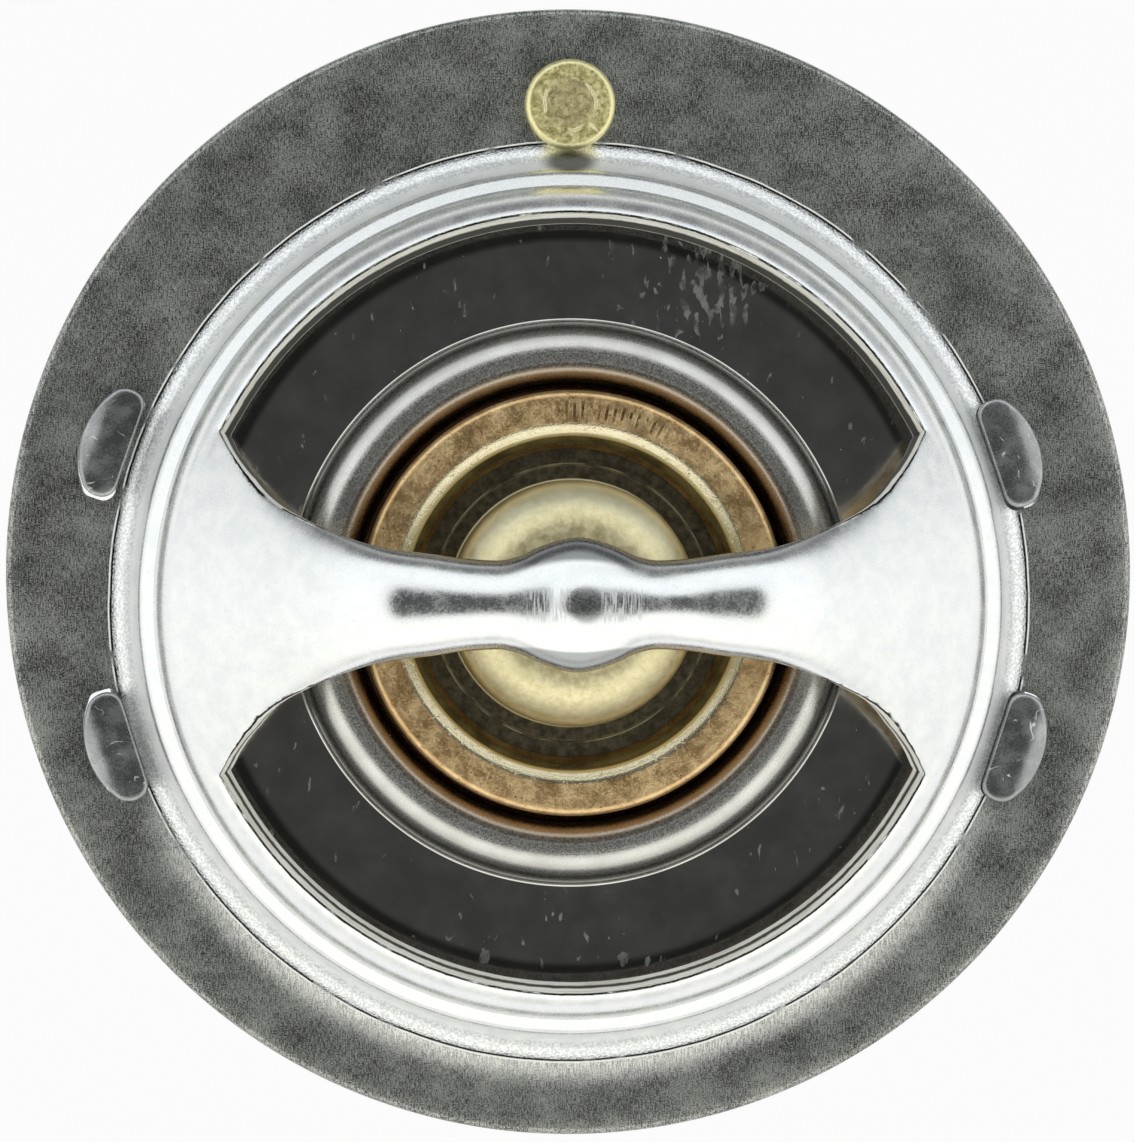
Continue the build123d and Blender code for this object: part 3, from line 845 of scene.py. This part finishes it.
# The foot under the jiggle pin's head lies in its shade.
under_pin = (look.place - (0.0, pin_y - valve_y - 2.75, 0.0)) * (0.62, 1.3, 0.0)
under_pin = under_pin.length().ramp(1.0, 0.45) * look.radius.ramp(22.1, 21.9)
look.paint(under_pin * 0.85, (0.1, 0.1, 0.09))
look.paint(on_flange, flange_colour, flange_rough)
look.paint(flecks, (1.0, 1.0, 1.0), 0.8)
# A fine bright line round the foot is a painted highlight, and the dark one inside it is a painted shadow
# of a gap.
wander = look.noise(0.35, 2.0) * 0.12 + look.radius
broken = look.noise(0.5, 2.0).ramp(0.36, 0.46)
look.paint(wander.band(foot_line, 0.06) * broken, (0.02, 0.02, 0.02))
look.paint(wander.band(foot_line + 0.1, 0.05) * broken, (1.0, 1.0, 0.97), 0.8)
low_wall = look.radius.ramp(20.6, 20.75) * look.radius.ramp(21.5, 21.15)
look.paint(low_wall, rough=0.65)
print("with the neck:", len(look.tree.nodes), "nodes")

# %% Body steel: edges and boss
# The arms' edges roll over into shade, more on the +Y side, and a punch has scuffed the boss.
edge = look.attribute("edge_side")
look.paint(edge.ramp(0.68, 0.96, 0.0, 0.75), (0.08, 0.09, 0.095))
look.paint(edge.ramp(-0.86, -0.97, 0.0, 0.7), (0.25, 0.27, 0.27))
disc = (look.place - (boss_disc_x, 0.0, ridge_height)).length().ramp(1.0, 0.65)
look.paint(disc * 0.6, (0.22, 0.23, 0.23))
from_disc = abs(look.x - 0.3)
scuff = look.noise(5.0, 2.0, (2.2, 0.16, 0)).ramp(0.46, 0.6) * abs(look.y).ramp(0.95, 0.5)
scuff = scuff * from_disc.ramp(0.6, 0.9) * from_disc.ramp(3.2, 2.2) * look.z.ramp(10.0, 10.5)
# Sheared edges are paler and rougher, with lines along the cut, a torn lower part and a dark lip.
cut = look.attribute("cut_depth")
on_edge = look.z.ramp(2.0, 2.3)
sheared = cut.ramp(0.08, 0.16) * cut.ramp(0.99, 0.9) * on_edge
along_cut = look.place * (0.25, 0.25, 0.0) + joined(look.tree, 0.0, 0.0, cut * 9.0)
lines = look.noise(1.4, 3.0, place=along_cut, rough=0.6).ramp(0.4, 0.56)
look.paint(sheared, lines.mix((0.78, 0.76, 0.68), (1.0, 1.0, 0.95)))
tear = look.noise(1.6, 3.0, rough=0.7)
torn_and_shade = tear * 0.16 + cut
# On the +Y side the dark covers the whole torn part, as painted shade; elsewhere only its middle is dark.
torn_and_shade = torn_and_shade.ramp(0.5, 0.6) * (look.y.ramp(-5.0, 5.0) | torn_and_shade.ramp(0.82, 0.72))
look.paint(torn_and_shade * sheared, (0.07, 0.07, 0.06))
lip_line = (tear * 0.12 + cut).band(0.12, 0.05) * look.noise(0.7, 3.0).ramp(0.34, 0.46)
look.paint(lip_line * on_edge * cut.ramp(0.001, 0.006), (0.015, 0.015, 0.012))
look.paint(scuff * 0.35, (0.5, 0.51, 0.51))
look.paint(sheared | scuff, rough=0.55)
relief = satin * 0.35 + on_flange * tone + foot_grain * 0.5
metallic = sheared * -0.85 + low_wall * -0.5 + 1.0
looks["flange_bridge"] = look.wear(relief, 0.012, 0.7, metallic)

# %% Steel of the cage and its staked heads
look = Look("frame_steel")
grain = look.noise(13.0, 3.0)
tone = grain * 0.4 + look.noise(0.9, 3.0, rough=0.6) * 0.6
look.colour = tone.ramp(0.35, 0.65).mix((0.42, 0.44, 0.44), (0.62, 0.64, 0.64))
look.rough = tone.ramp(0.35, 0.7, 0.24, 0.34)
# The struck heads have turned darker than the cage, and are scratched.
look.paint(look.z.ramp(-0.5, 0.0), tone.ramp(0.4, 0.65).mix((0.34, 0.35, 0.35), (0.52, 0.53, 0.53)))
crease = abs(look.noise(0.7, 1.0, twist=1.0) - 0.5)
scratch = crease.ramp(0.008, 0.003) * look.noise(1.1, 1.0).ramp(0.54, 0.62)
look.paint(scratch * 0.7, (1.0, 1.0, 1.0))
look.paint(scratch, rough=0.6)
looks["lower_frame"] = look.wear(grain, 0.006, 0.5)

# %% Spring steel
look = Look("spring_steel")
drawn = look.noise(1.2, 3.0, (1, 1, 6))
stain = look.noise(0.8, 3.0)
look.colour = drawn.ramp(0.35, 0.65).mix((0.26, 0.265, 0.27), (0.48, 0.485, 0.49))
look.rough = (drawn + stain).ramp(0.7, 1.3, 0.24, 0.42)
look.paint(stain.ramp(0.6, 0.75), (0.3, 0.24, 0.18))
looks["main_spring"] = look.wear(drawn, 0.01, 0.5)

# %% Polished steel of the valve plate
look = Look("plate_steel")
haze = look.noise(0.5, 4.0, rough=0.6)
look.colour = haze.ramp(0.3, 0.7).mix((0.66, 0.64, 0.6), (0.78, 0.77, 0.73))
look.rough = haze.ramp(0.3, 0.7, 0.07, 0.13)
# The bead is brushed. Its outer flank is painted dark as the neck's shade, and its inner one carries a
# painted reflection of the copper.
on_bead = look.radius.ramp(13.55, 13.25) * look.radius.ramp(10.0, 10.4)
fine = look.noise(14.0)
rings = look.noise(1.0, 3.0, place=joined(look.tree, look.radius * 7.0))
look.paint(on_bead, rough=(fine + rings).ramp(0.75, 1.25, 0.2, 0.34))
flank = look.radius.ramp(12.25, 13.15) * look.radius.ramp(13.5, 13.35)
look.paint(flank * 0.85, (0.1, 0.1, 0.1))
look.paint(look.radius.ramp(11.55, 11.2, 0.0, 0.8), (0.4, 0.3, 0.2))
# Where the plate runs in under the neck's mouth it is painted dark, as shade.
look.paint(look.radius.ramp(17.1, 17.5, 0.0, 0.8), (0.08, 0.08, 0.08))
# Dried splashes lie in a loose group near the rim, and a few stray ones elsewhere.
group = look.place.math("DISTANCE", (6.6, 15.2, 1.2), output=1).ramp(4.2, 1.2)
splash = look.noise(2.3, 2.5, (1.0, 0.42, 1.0), twist=0.4)
film = (group * 0.17 + splash).ramp(0.66, 0.72)
film = film | look.specks(0.16, 0.17) * look.noise(3.0).ramp(0.47, 0.6)
for x, y in ((-4.1, -16.9), (2.5, -17.0)):
    away = ((look.place - (x, y, 0.0)) * (1.0, 0.7, 0.0)).length()
    film = film | (look.noise(3.5, 1.0) * 0.3 + away).ramp(0.42, 0.36)
film = film * look.radius.ramp(13.4, 13.7) * look.noise(1.7, 3.0).ramp(0.3, 0.65, 0.35, 1.0)
look.paint(film, (0.46, 0.48, 0.46), 0.38)
look.paint(look.specks(0.35, 0.05) | look.specks(1.1, 0.022), (0.95, 0.95, 0.92), 0.7)
looks["valve_plate"] = look.wear(on_bead * (rings * 1.5 + fine), 0.006, 0.6)

# %% Tarnished copper
look = Look("copper")
tarnish = look.noise(0.9, 5.0, rough=0.68)
spots = look.noise(3.2, 3.0, rough=0.7).ramp(0.58, 0.7)
grain = look.noise(13.0)
angle = look.y.math("ARCTAN2", look.x)
rings = look.noise(1.2, 3.0, place=joined(look.tree, look.radius * 5.0, angle, look.z))
look.colour = tarnish.ramp(0.32, 0.68).mix((0.68, 0.44, 0.2), (1.0, 0.74, 0.4))
look.rough = (tarnish + grain).ramp(0.75, 1.25, 0.28, 0.46)
bulb = tarnish.ramp(0.32, 0.68).mix((0.4, 0.2, 0.085), (0.86, 0.52, 0.27))
look.paint(look.z.ramp(1.0, 0.0), bulb)
look.paint(spots * 0.7, (0.2, 0.12, 0.06))
# The crest is painted pale, partly as metal burnished by the crimping tool and partly as a painted
# highlight, and the tool's roller left short radial ticks on the collar.
crest = look.radius.ramp(8.61, 8.48) * look.z.ramp(cup_high.z - 1.1, cup_high.z - 0.8)
look.paint(crest * tarnish.ramp(0.25, 0.6, 0.8, 1.0), (1.0, 0.9, 0.62))
look.paint(crest, rough=0.2)
# The collar's rounded outer edge is painted dark, as shade.
look.paint(look.radius.ramp(9.85, 10.1, 0.0, 0.6), (0.2, 0.12, 0.06))
ticks = (angle * 150.0).math("SINE").ramp(-0.1, 0.6) * look.noise(1.6).ramp(0.36, 0.5)
ticks = ticks * angle.ramp(0.95, 1.2) * angle.ramp(1.75, 1.5) * look.radius.band(9.15, 0.5)
look.paint(ticks * 0.85, (0.1, 0.06, 0.03))
# Small pale specks are painted glints.
look.paint(look.specks(1.6, 0.06) * look.noise(1.2, 1.0).ramp(0.5, 0.6), (1.0, 0.92, 0.74))
looks["element_cup"] = look.wear(rings * 0.8 + grain * 0.7 - (spots + ticks) * 0.8, 0.014, 0.7)

# %% Brass of the guide
look = Look("guide_brass")
mottle = look.noise(2.4, 4.0, rough=0.65)
grain = look.noise(10.0, 3.0, rough=0.7)
on_knob = look.radius.ramp(5.95, 5.86)
look.colour = mottle.ramp(0.3, 0.7).mix((0.74, 0.64, 0.36), (0.98, 0.89, 0.58))
look.paint(look.noise(0.7, 3.0).ramp(0.45, 0.65) * 0.3, (0.6, 0.62, 0.34))
# Pale flecks are painted glints.
look.paint(look.noise(9.0, rough=0.8).ramp(0.62, 0.72) * 0.8, (1.0, 0.97, 0.72))
# The knob's shoulder is painted in shade on the -Y side and with a painted highlight on the other, and its
# edge is painted dark as shade.
shoulder = look.radius.ramp(4.3, 5.2)
look.paint(shoulder * look.y.ramp(-1.0, -4.0, 0.0, 0.5), (0.4, 0.34, 0.2))
look.paint(shoulder * look.y.ramp(1.0, 4.0, 0.0, 0.7), (1.0, 0.97, 0.7))
look.paint(look.radius.ramp(5.5, 5.85, 0.0, 0.65), (0.3, 0.24, 0.12))
# The well round the knob is painted dark, partly as old coolant and partly as painted shade in the recess,
# apart from the edge of a step in it.
step = look.radius.band(6.62, 0.07) * look.noise(0.8).ramp(0.35, 0.6)
well = mottle.ramp(0.35, 0.7).mix((0.075, 0.062, 0.04), (0.16, 0.14, 0.09))
look.colour = on_knob.mix((step * 0.8).mix(well, (0.5, 0.46, 0.28)), look.colour)
look.rough = on_knob.blend(0.38, (mottle + grain).ramp(0.7, 1.3, 0.36, 0.52))
looks["guide_cover"] = look.wear(on_knob * (grain + mottle), 0.014, 0.7)

# %% Brass of the jiggle pin
look = Look("pin_brass")
from_pin = look.place - (0.0, pin_y - valve_y, 0.0)
pin_x, from_pin_y, _ = from_pin.parts()
ring = (from_pin * (1, 1, 0)).length()
mottle = look.noise(2.6, 4.0, rough=0.7)
grain = look.noise(12.0)
look.colour = mottle.ramp(0.3, 0.7).mix((0.62, 0.54, 0.2), (1.0, 0.92, 0.5))
look.rough = (mottle + grain).ramp(0.7, 1.3, 0.3, 0.5)
look.paint(ring.ramp(1.5, 0.9) * 0.5, (0.62, 0.5, 0.3))
look.paint(ring.ramp(1.85, 2.0, 0.0, 0.7), (1.0, 0.94, 0.55))
# A broken ring of punch marks, and one nick near the edge.
marks = (look.noise(1.8) * 0.35 + ring).band(1.4, 0.09) * look.noise(1.1).ramp(0.42, 0.55)
marks = marks | abs(pin_x + from_pin_y).ramp(0.1, 0.03) * pin_x.band(1.15, 0.3)
look.paint(marks, (1.0, 0.94, 0.6))
looks["jiggle_pin"] = look.wear(mottle + grain - marks, 0.02, 0.8)

# %% Ground steel of the piston
look = Look("piston_steel")
rings = look.noise(1.0, 3.0, place=joined(look.tree, look.z * 9.0))
film = look.noise(1.4, 3.0)
look.colour = film.ramp(0.35, 0.7).mix((0.6, 0.6, 0.6), (0.78, 0.78, 0.77))
look.rough = (rings + film).ramp(0.7, 1.3, 0.1, 0.22)
looks["piston"] = look.wear(rings, 0.004, 0.5)

# %% Washer, boot and wax
look = Look("washer_plastic", metallic=0.0)
cloud = look.noise(2.0, 3.0)
look.colour = cloud.mix((0.82, 0.82, 0.78), (0.92, 0.92, 0.9))
look.rough = cloud.ramp(0.3, 0.7, 0.4, 0.55)
looks["backup_washer"] = look.wear(look.noise(place=joined(look.tree, look.radius * 12.0), scale=1.0), 0.01)
look = Look("boot_rubber", metallic=0.0)
cloud = look.noise(1.5, 4.0)
look.colour = cloud.ramp(0.35, 0.7).mix((0.018, 0.018, 0.018), (0.05, 0.05, 0.048))
look.rough = cloud.ramp(0.3, 0.7, 0.55, 0.8)
looks["rubber_boot"] = look.wear(cloud, 0.02)
look = Look("wax", metallic=0.0)
flakes = look.specks(3.0, 0.12)
look.colour = look.noise(1.0, 3.0).mix((0.5, 0.3, 0.16), (0.66, 0.42, 0.24))
look.rough = look.noise(4.0).ramp(0.3, 0.7, 0.35, 0.6)
look.paint(flakes, (0.85, 0.5, 0.25))
looks["wax_pellet"] = look.wear(flakes, 0.01)
for name, material in looks.items():
    nodes[name].material_slots[0].material = material

# %% [markdown]
# ## What repeats
# The four staked heads differ only in where they stand. The tree works out each head's angle and
# distance from its number and its own slip, and puts a copy of the one head there.

# %% Head tree
heads_tree = GeometryTree("staked_heads", {
    "Head": head, "Distance": tab_root * MM, "Angle": math.radians(tab_angle),
    "Centre": (0.0, valve_y * MM, 0.0), "Finish": looks["lower_frame"],
})
tree, given = heads_tree.tree, heads_tree.given
index = wire(tree, "GeometryNodeInputIndex")
slips = tree.nodes.new("GeometryNodeIndexSwitch")
slips.data_type = "VECTOR"
for _ in tab_slips[2:]:
    slips.index_switch_items.new()
fill(slips.inputs[0], index)
for socket, (out, turned_by, _, _) in zip(slips.inputs[1:], tab_slips):
    socket.default_value = (out * MM, math.radians(turned_by), 0)
slip_out, slip_turn, _ = Field(slips.outputs[0]).parts()
# Head k stands at plus or minus the angle, either side of leg k // 2.
leg = (index * 0.5).math("FLOOR")
sign = index.math("MODULO", 2) * -2 + 1
spin = joined(tree, None, None, leg * math.pi + sign * (given["Angle"] + slip_turn))
place = wire(tree, "ShaderNodeVectorRotate", rotation_type="EULER_XYZ", named={
    "Vector": joined(tree, given["Distance"] + slip_out), "Rotation": spin,
})
copies = wire(tree, "GeometryNodeInstanceOnPoints", named={
    "Points": wire(tree, "GeometryNodePoints", len(tab_slips), place + given["Centre"]),
    "Instance": wire(tree, "GeometryNodeObjectInfo", given["Head"], output="Geometry"),
    "Rotation": spin,
})
heads = heads_tree.grow("staked_tabs", copies, given["Finish"])
bpy.data.objects.remove(head)

# %% [markdown]
# The conical spring follows a rule too: its radius and height climb evenly over the active turns and
# stay level over the closed ones at either end, whose outer sides are ground flat.

# %% Spring tree
SPRING_POINTS, WIRE_POINTS = 900, 24
wire_radius, ground = 0.9, 0.3
spring_tree = GeometryTree("conical_spring", {
    "Foot Radius": 10.4 * MM, "Head Radius": 15.6 * MM,
    "Foot": (spring_low.z + wire_radius - ground) * MM,
    "Head": (spring_high.z - wire_radius + ground) * MM,
    "Active Turns": 3.5, "End Turns": 290 / 360, "Wire Radius": wire_radius * MM,
    "Ground": ground * MM, "Centre": (0.0, valve_y * MM, 0.0), "Finish": looks["main_spring"],
})
tree, given = spring_tree.tree, spring_tree.given
share = wire(tree, "GeometryNodeInputIndex") * (1 / (SPRING_POINTS - 1))
active = share * (given["End Turns"] * 2 + given["Active Turns"]) - given["End Turns"]
angle = active * math.tau
climb = active.math("DIVIDE", given["Active Turns"], use_clamp=True)
radius = climb * (given["Head Radius"] - given["Foot Radius"]) + given["Foot Radius"]
height = climb * (given["Head"] - given["Foot"]) + given["Foot"]
place = joined(tree, radius * angle.math("COSINE"), radius * angle.math("SINE"), height)
line = wire(tree, "GeometryNodeMeshToCurve", wire(tree, "GeometryNodeMeshLine", SPRING_POINTS))
line = wire(tree, "GeometryNodeSetPosition", line, None, place + given["Centre"])
section = wire(
    tree, "GeometryNodeCurvePrimitiveCircle", WIRE_POINTS, named={"Radius": given["Wire Radius"]}
)
tube = wire(tree, "GeometryNodeCurveToMesh", named={
    "Curve": line, "Profile Curve": section, "Fill Caps": True,
})
# Grinding flattens both ends: no point lies past the ground faces.
x, y, z = wire(tree, "GeometryNodeInputPosition").parts()
to_face = given["Wire Radius"] - given["Ground"]
level = (z | given["Foot"] - to_face).math("MINIMUM", given["Head"] + to_face)
coil = wire(tree, "GeometryNodeSetPosition", tube, None, joined(tree, x, y, level))
spring = facing_out(spring_tree.grow("spring", coil, given["Finish"]))
smooth(spring.data)

# %% [markdown]
# ## Turned and drawn pieces
# The valve plate, the copper cup, the brass guide, the piston and the jiggle pin are all round, so
# each is its own section spun about an axis.

# %% Valve plate
plate_sheet = 0.8
bead_radius, bead_inner, bead_height = 13.1, 10.95, 1.5
bead_flank = bead_height * math.tan(math.radians(10))
bulb_hole = 7.6
collar_rise = 30.6                # from the cup's foot to the plate's ring under its collar
land = cup_low.z + collar_rise - plate_sheet / 2
plate_middle = plate_high.z - plate_sheet / 2 - bead_height
plate_line = np.array(rounded(
    [(plate_high.x, plate_middle), (bead_radius, plate_middle),
     (bead_radius - bead_flank, plate_middle + bead_height),
     (bead_inner, plate_middle + bead_height), (bead_inner, land), (bulb_hole, land)],
    [0.6, 1.2, 0.375, 0.75],
    steps=10,
))
along = np.gradient(plate_line, axis=0)
along /= np.linalg.norm(along, axis=1)[:, None]
side = np.stack([along[:, 1], -along[:, 0]], axis=1) * plate_sheet / 2
plate = turned("plate", [*(plate_line + side), *(plate_line - side)[::-1]], steps=360)

# %% Copper cup
cup_wall, bulb_radius, bulb_round = 0.9, 7.5, 2.2
collar_radius, collar_top, collar_bottom, collar_edge = cup_high.x, cup_high.z, -0.4, 0.35
lip, crest_inner, crest_outer, crest_drop = 7.32, 7.96, 8.5, 0.146
guide_top, guide_flange, boot_under = 2.3, 9.15, 0.5
cup_inner, cup_floor = bulb_radius - cup_wall, cup_low.z + cup_wall
cup_profile = rounded(
    [(0, cup_low.z), (bulb_radius, cup_low.z), (bulb_radius, collar_bottom),
     (collar_radius, collar_bottom), (collar_radius, collar_top), (crest_outer, collar_top),
     (crest_inner, collar_top - crest_drop), (lip, guide_top), (guide_flange, guide_top),
     (guide_flange, boot_under), (cup_inner, boot_under), (cup_inner, cup_floor), (0, cup_floor)],
    [bulb_round, 0.15, collar_edge, collar_edge, 1.2, 0.3, 0.06, 0, 0, 0, bulb_round - cup_wall],
)
cup = turned("copper_cup", cup_profile, steps=360)

# %% Brass guide
knob_radius, knob_round, bore, bore_bevel = 5.8, 2.35, 2.05, 0.4
knob_foot, knob_step = 6.6, 0.22
washer_radius, washer_top = 3.6, guide_low.z + 0.7
guide_profile = rounded(
    [(bore, washer_top), (washer_radius, washer_top), (washer_radius, guide_low.z),
     (guide_high.x, guide_low.z), (guide_high.x, guide_top), (knob_foot, guide_top),
     (knob_foot, guide_top + knob_step), (knob_radius, guide_top + knob_step),
     (knob_radius, guide_high.z), (bore + bore_bevel, guide_high.z),
     (bore, guide_high.z - bore_bevel), (bore, washer_top)],
    [0, 0, 0.05, 0.05, 0.04, 0.08, 0.12, knob_round, 0.1, 0.1],
    steps=12,
)[:-1]
guide = turned("brass_guide", guide_profile)

# %% Piston and jiggle pin
point_radius, point_length = 0.7, 1.6
piston_radius = piston_high.x
piston_profile = rounded(
    [(0, piston_low.z), (point_radius, piston_low.z), (piston_radius, piston_low.z + point_length),
     (piston_radius, piston_high.z - point_length), (point_radius, piston_high.z),
     (0, piston_high.z)],
    [0.1, 0.15, 0.15, 0.1],
    steps=5,
)
rod = turned("piston_rod", piston_profile, steps=96)
pin_stem, pin_weight, weight_top = 0.9, 1.7, -sheet - 1.5
pin_profile = rounded(
    [(0, pin_high.z), (pin_high.x, pin_high.z), (pin_high.x, 0), (pin_stem, 0),
     (pin_stem, weight_top), (pin_weight, weight_top - pin_weight + pin_stem),
     (pin_weight, pin_low.z), (0, pin_low.z)],
    [0.3, 0.06, 0.05, 0.1, 0.1, 0.85],
)
pin = turned("vent_pin", pin_profile, centre_y=pin_y, steps=192)

# %% [markdown]
# ## On their bodies
# Each piece takes the place of its packed shell and rides on the body that carries it, so it moves
# with the valve or the pin.

# %% Put every piece on its body
worn = [
    (stamping, "frame", "flange_bridge", "body_steel"),
    (cage, "frame", "lower_frame", "frame_steel"),
    (heads, "frame", None, "frame_steel"),
    (spring, "frame", "main_spring", "spring_steel"),
    (plate, "valve", "valve_plate", "plate_steel"),
    (cup, "valve", "element_cup", "copper"),
    (guide, "valve", "guide_cover", "guide_brass"),
    (rod, "frame", "piston", "piston_steel"),
    (pin, "vent_pin", "jiggle_pin", "pin_brass"),
]
for piece, body_name, replaced, slot in worn:
    if replaced:
        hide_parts(replaced)
        piece.data.materials.clear()
        piece.data.materials.append(looks[replaced])
    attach(piece, body_name)
valve_lift = next(joint for joint in frame["joints"] if joint["name"] == "valve_lift")
valve_travel = valve_lift["range_m"][1]
spring_length = (spring_high.z - spring_low.z) * MM
spring_slack = 0.02 * MM          # a little room between the spring and the plate
(spring_length - valve_travel - spring_slack) / spring_length
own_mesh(spring)
print("valve travel:", valve_travel, "m, spring", spring_length, "m long")

# %% [markdown]
# ## Stage, light and camera
# Polished metal shows its surroundings. A product table has pale walls all round and a darker
# patch overhead, where the camera looks in, so the world is bright with a dim round patch at its top.

# %% Floor
FLOOR_HEIGHT, FLOOR_SIZE = -49.5 * MM, 1.5
FLOOR_GLOW = 0.9                  # share of the floor that glows where it is seen or reflected
corners = [(x * FLOOR_SIZE, y * FLOOR_SIZE, FLOOR_HEIGHT) for x, y in ((-1, -1), (1, -1), (1, 1), (-1, 1))]
floor_mesh = bpy.data.meshes.new("floor")
floor_mesh.from_pydata(corners, [], [(0, 1, 2, 3)])
floor = bpy.data.objects.new("floor", floor_mesh)
bpy.context.scene.collection.objects.link(floor)

floor_material = bpy.data.materials.new("pale_floor")
floor_material.use_nodes = True
tree = floor_material.node_tree
tree.nodes.clear()
rays = tree.nodes.new("ShaderNodeLightPath").outputs
to_lens = Field(rays["Is Camera Ray"])
seen = to_lens + Field(rays["Is Glossy Ray"])
seen = seen.math("ADD", Field(rays["Is Transmission Ray"]), use_clamp=True)
# Far off towards +Y the metal sees the table in shade.
far = wire(tree, "ShaderNodeTexCoord", output="Object").parts()[1].ramp(0.09, 0.4, 1.0, 0.25) | to_lens
matte = wire(tree, "ShaderNodeBsdfDiffuse", (0.86, 0.86, 0.86))
glowing = wire(tree, "ShaderNodeEmission", (1.0, 1.0, 1.0), far)
mixed = wire(tree, "ShaderNodeMixShader", seen * FLOOR_GLOW, matte, glowing)
fill(tree.nodes.new("ShaderNodeOutputMaterial").inputs[0], mixed)
floor.data.materials.append(floor_material)
print("floor:", len(tree.nodes), "nodes")

# %% World
PATCH_START, PATCH_END = math.radians(19), math.radians(28)
PATCH_AXIS = (0.0, 0.061, 0.998)
# Brightness of the horizon from -Y round to +Y.
HORIZON = [(0.0, 0.65), (0.25, 0.85), (0.5, 0.95), (0.68, 0.8), (0.85, 0.35), (1.0, 0.18)]
world = bpy.data.worlds.new("light_tent")
bpy.context.scene.world = world
world.use_nodes = True
tree = world.node_tree
tree.nodes.clear()
direction = wire(tree, "ShaderNodeTexCoord")
_, north, up = direction.parts()
from_lens = direction.math("DOT_PRODUCT", PATCH_AXIS, output=1).math("ARCCOSINE")
patch = from_lens.ramp(PATCH_START, PATCH_END, 0.05, 1.0)
walls = north.ramp(-1.0, 1.0, 1.15, 1.08, "LINEAR")
ring = tree.nodes.new("ShaderNodeValToRGB")
fill(ring.inputs[0], north.ramp(-1.0, 1.0, kind="LINEAR"))
stops = ring.color_ramp.elements
for position, _ in HORIZON[1:-1]:
    stops.new(position)
for stop, (_, level) in zip(stops, HORIZON):
    stop.color = (level, level, level, 1)
low = up.ramp(
    north.ramp(-1.0, 1.0, 0.12, 0.28, "LINEAR"), north.ramp(-1.0, 1.0, 0.34, 0.42, "LINEAR"),
    Field(ring.outputs[0]), 1.0,
)
to_lens = Field(tree.nodes.new("ShaderNodeLightPath").outputs["Is Camera Ray"])
tint = north.ramp(-0.5, 0.5, kind="LINEAR").mix((1.0, 1.0, 0.955), (0.95, 0.985, 1.0))
background = wire(tree, "ShaderNodeBackground", tint, patch * walls * low | to_lens)
fill(tree.nodes.new("ShaderNodeOutputWorld").inputs[0], background)
print("world:", len(tree.nodes), "nodes")

# %% Camera
CAMERA_DISTANCE = 300.0 * MM
CAMERA_LEAN = Vector((-0.0336, 0.007, 1))
target = Vector((-0.115, 0.053, 0)) * MM
camera_data = bpy.data.cameras.new("camera")
camera = bpy.data.objects.new("camera", camera_data)
bpy.context.scene.collection.objects.link(camera)
camera.location = target + CAMERA_LEAN * CAMERA_DISTANCE
back = (camera.location - target).normalized()
right = Vector((0, 1, 0)).cross(back).normalized()
camera.rotation_euler = Matrix((right, back.cross(right), back)).transposed().to_euler()
camera_data.sensor_width = 36
camera_data.lens = 197.3
camera_data.clip_start = 0.01
bpy.context.scene.camera = camera
bpy.context.scene.view_settings.view_transform = "Standard"
print("camera at", tuple(round(part, 4) for part in camera.location))
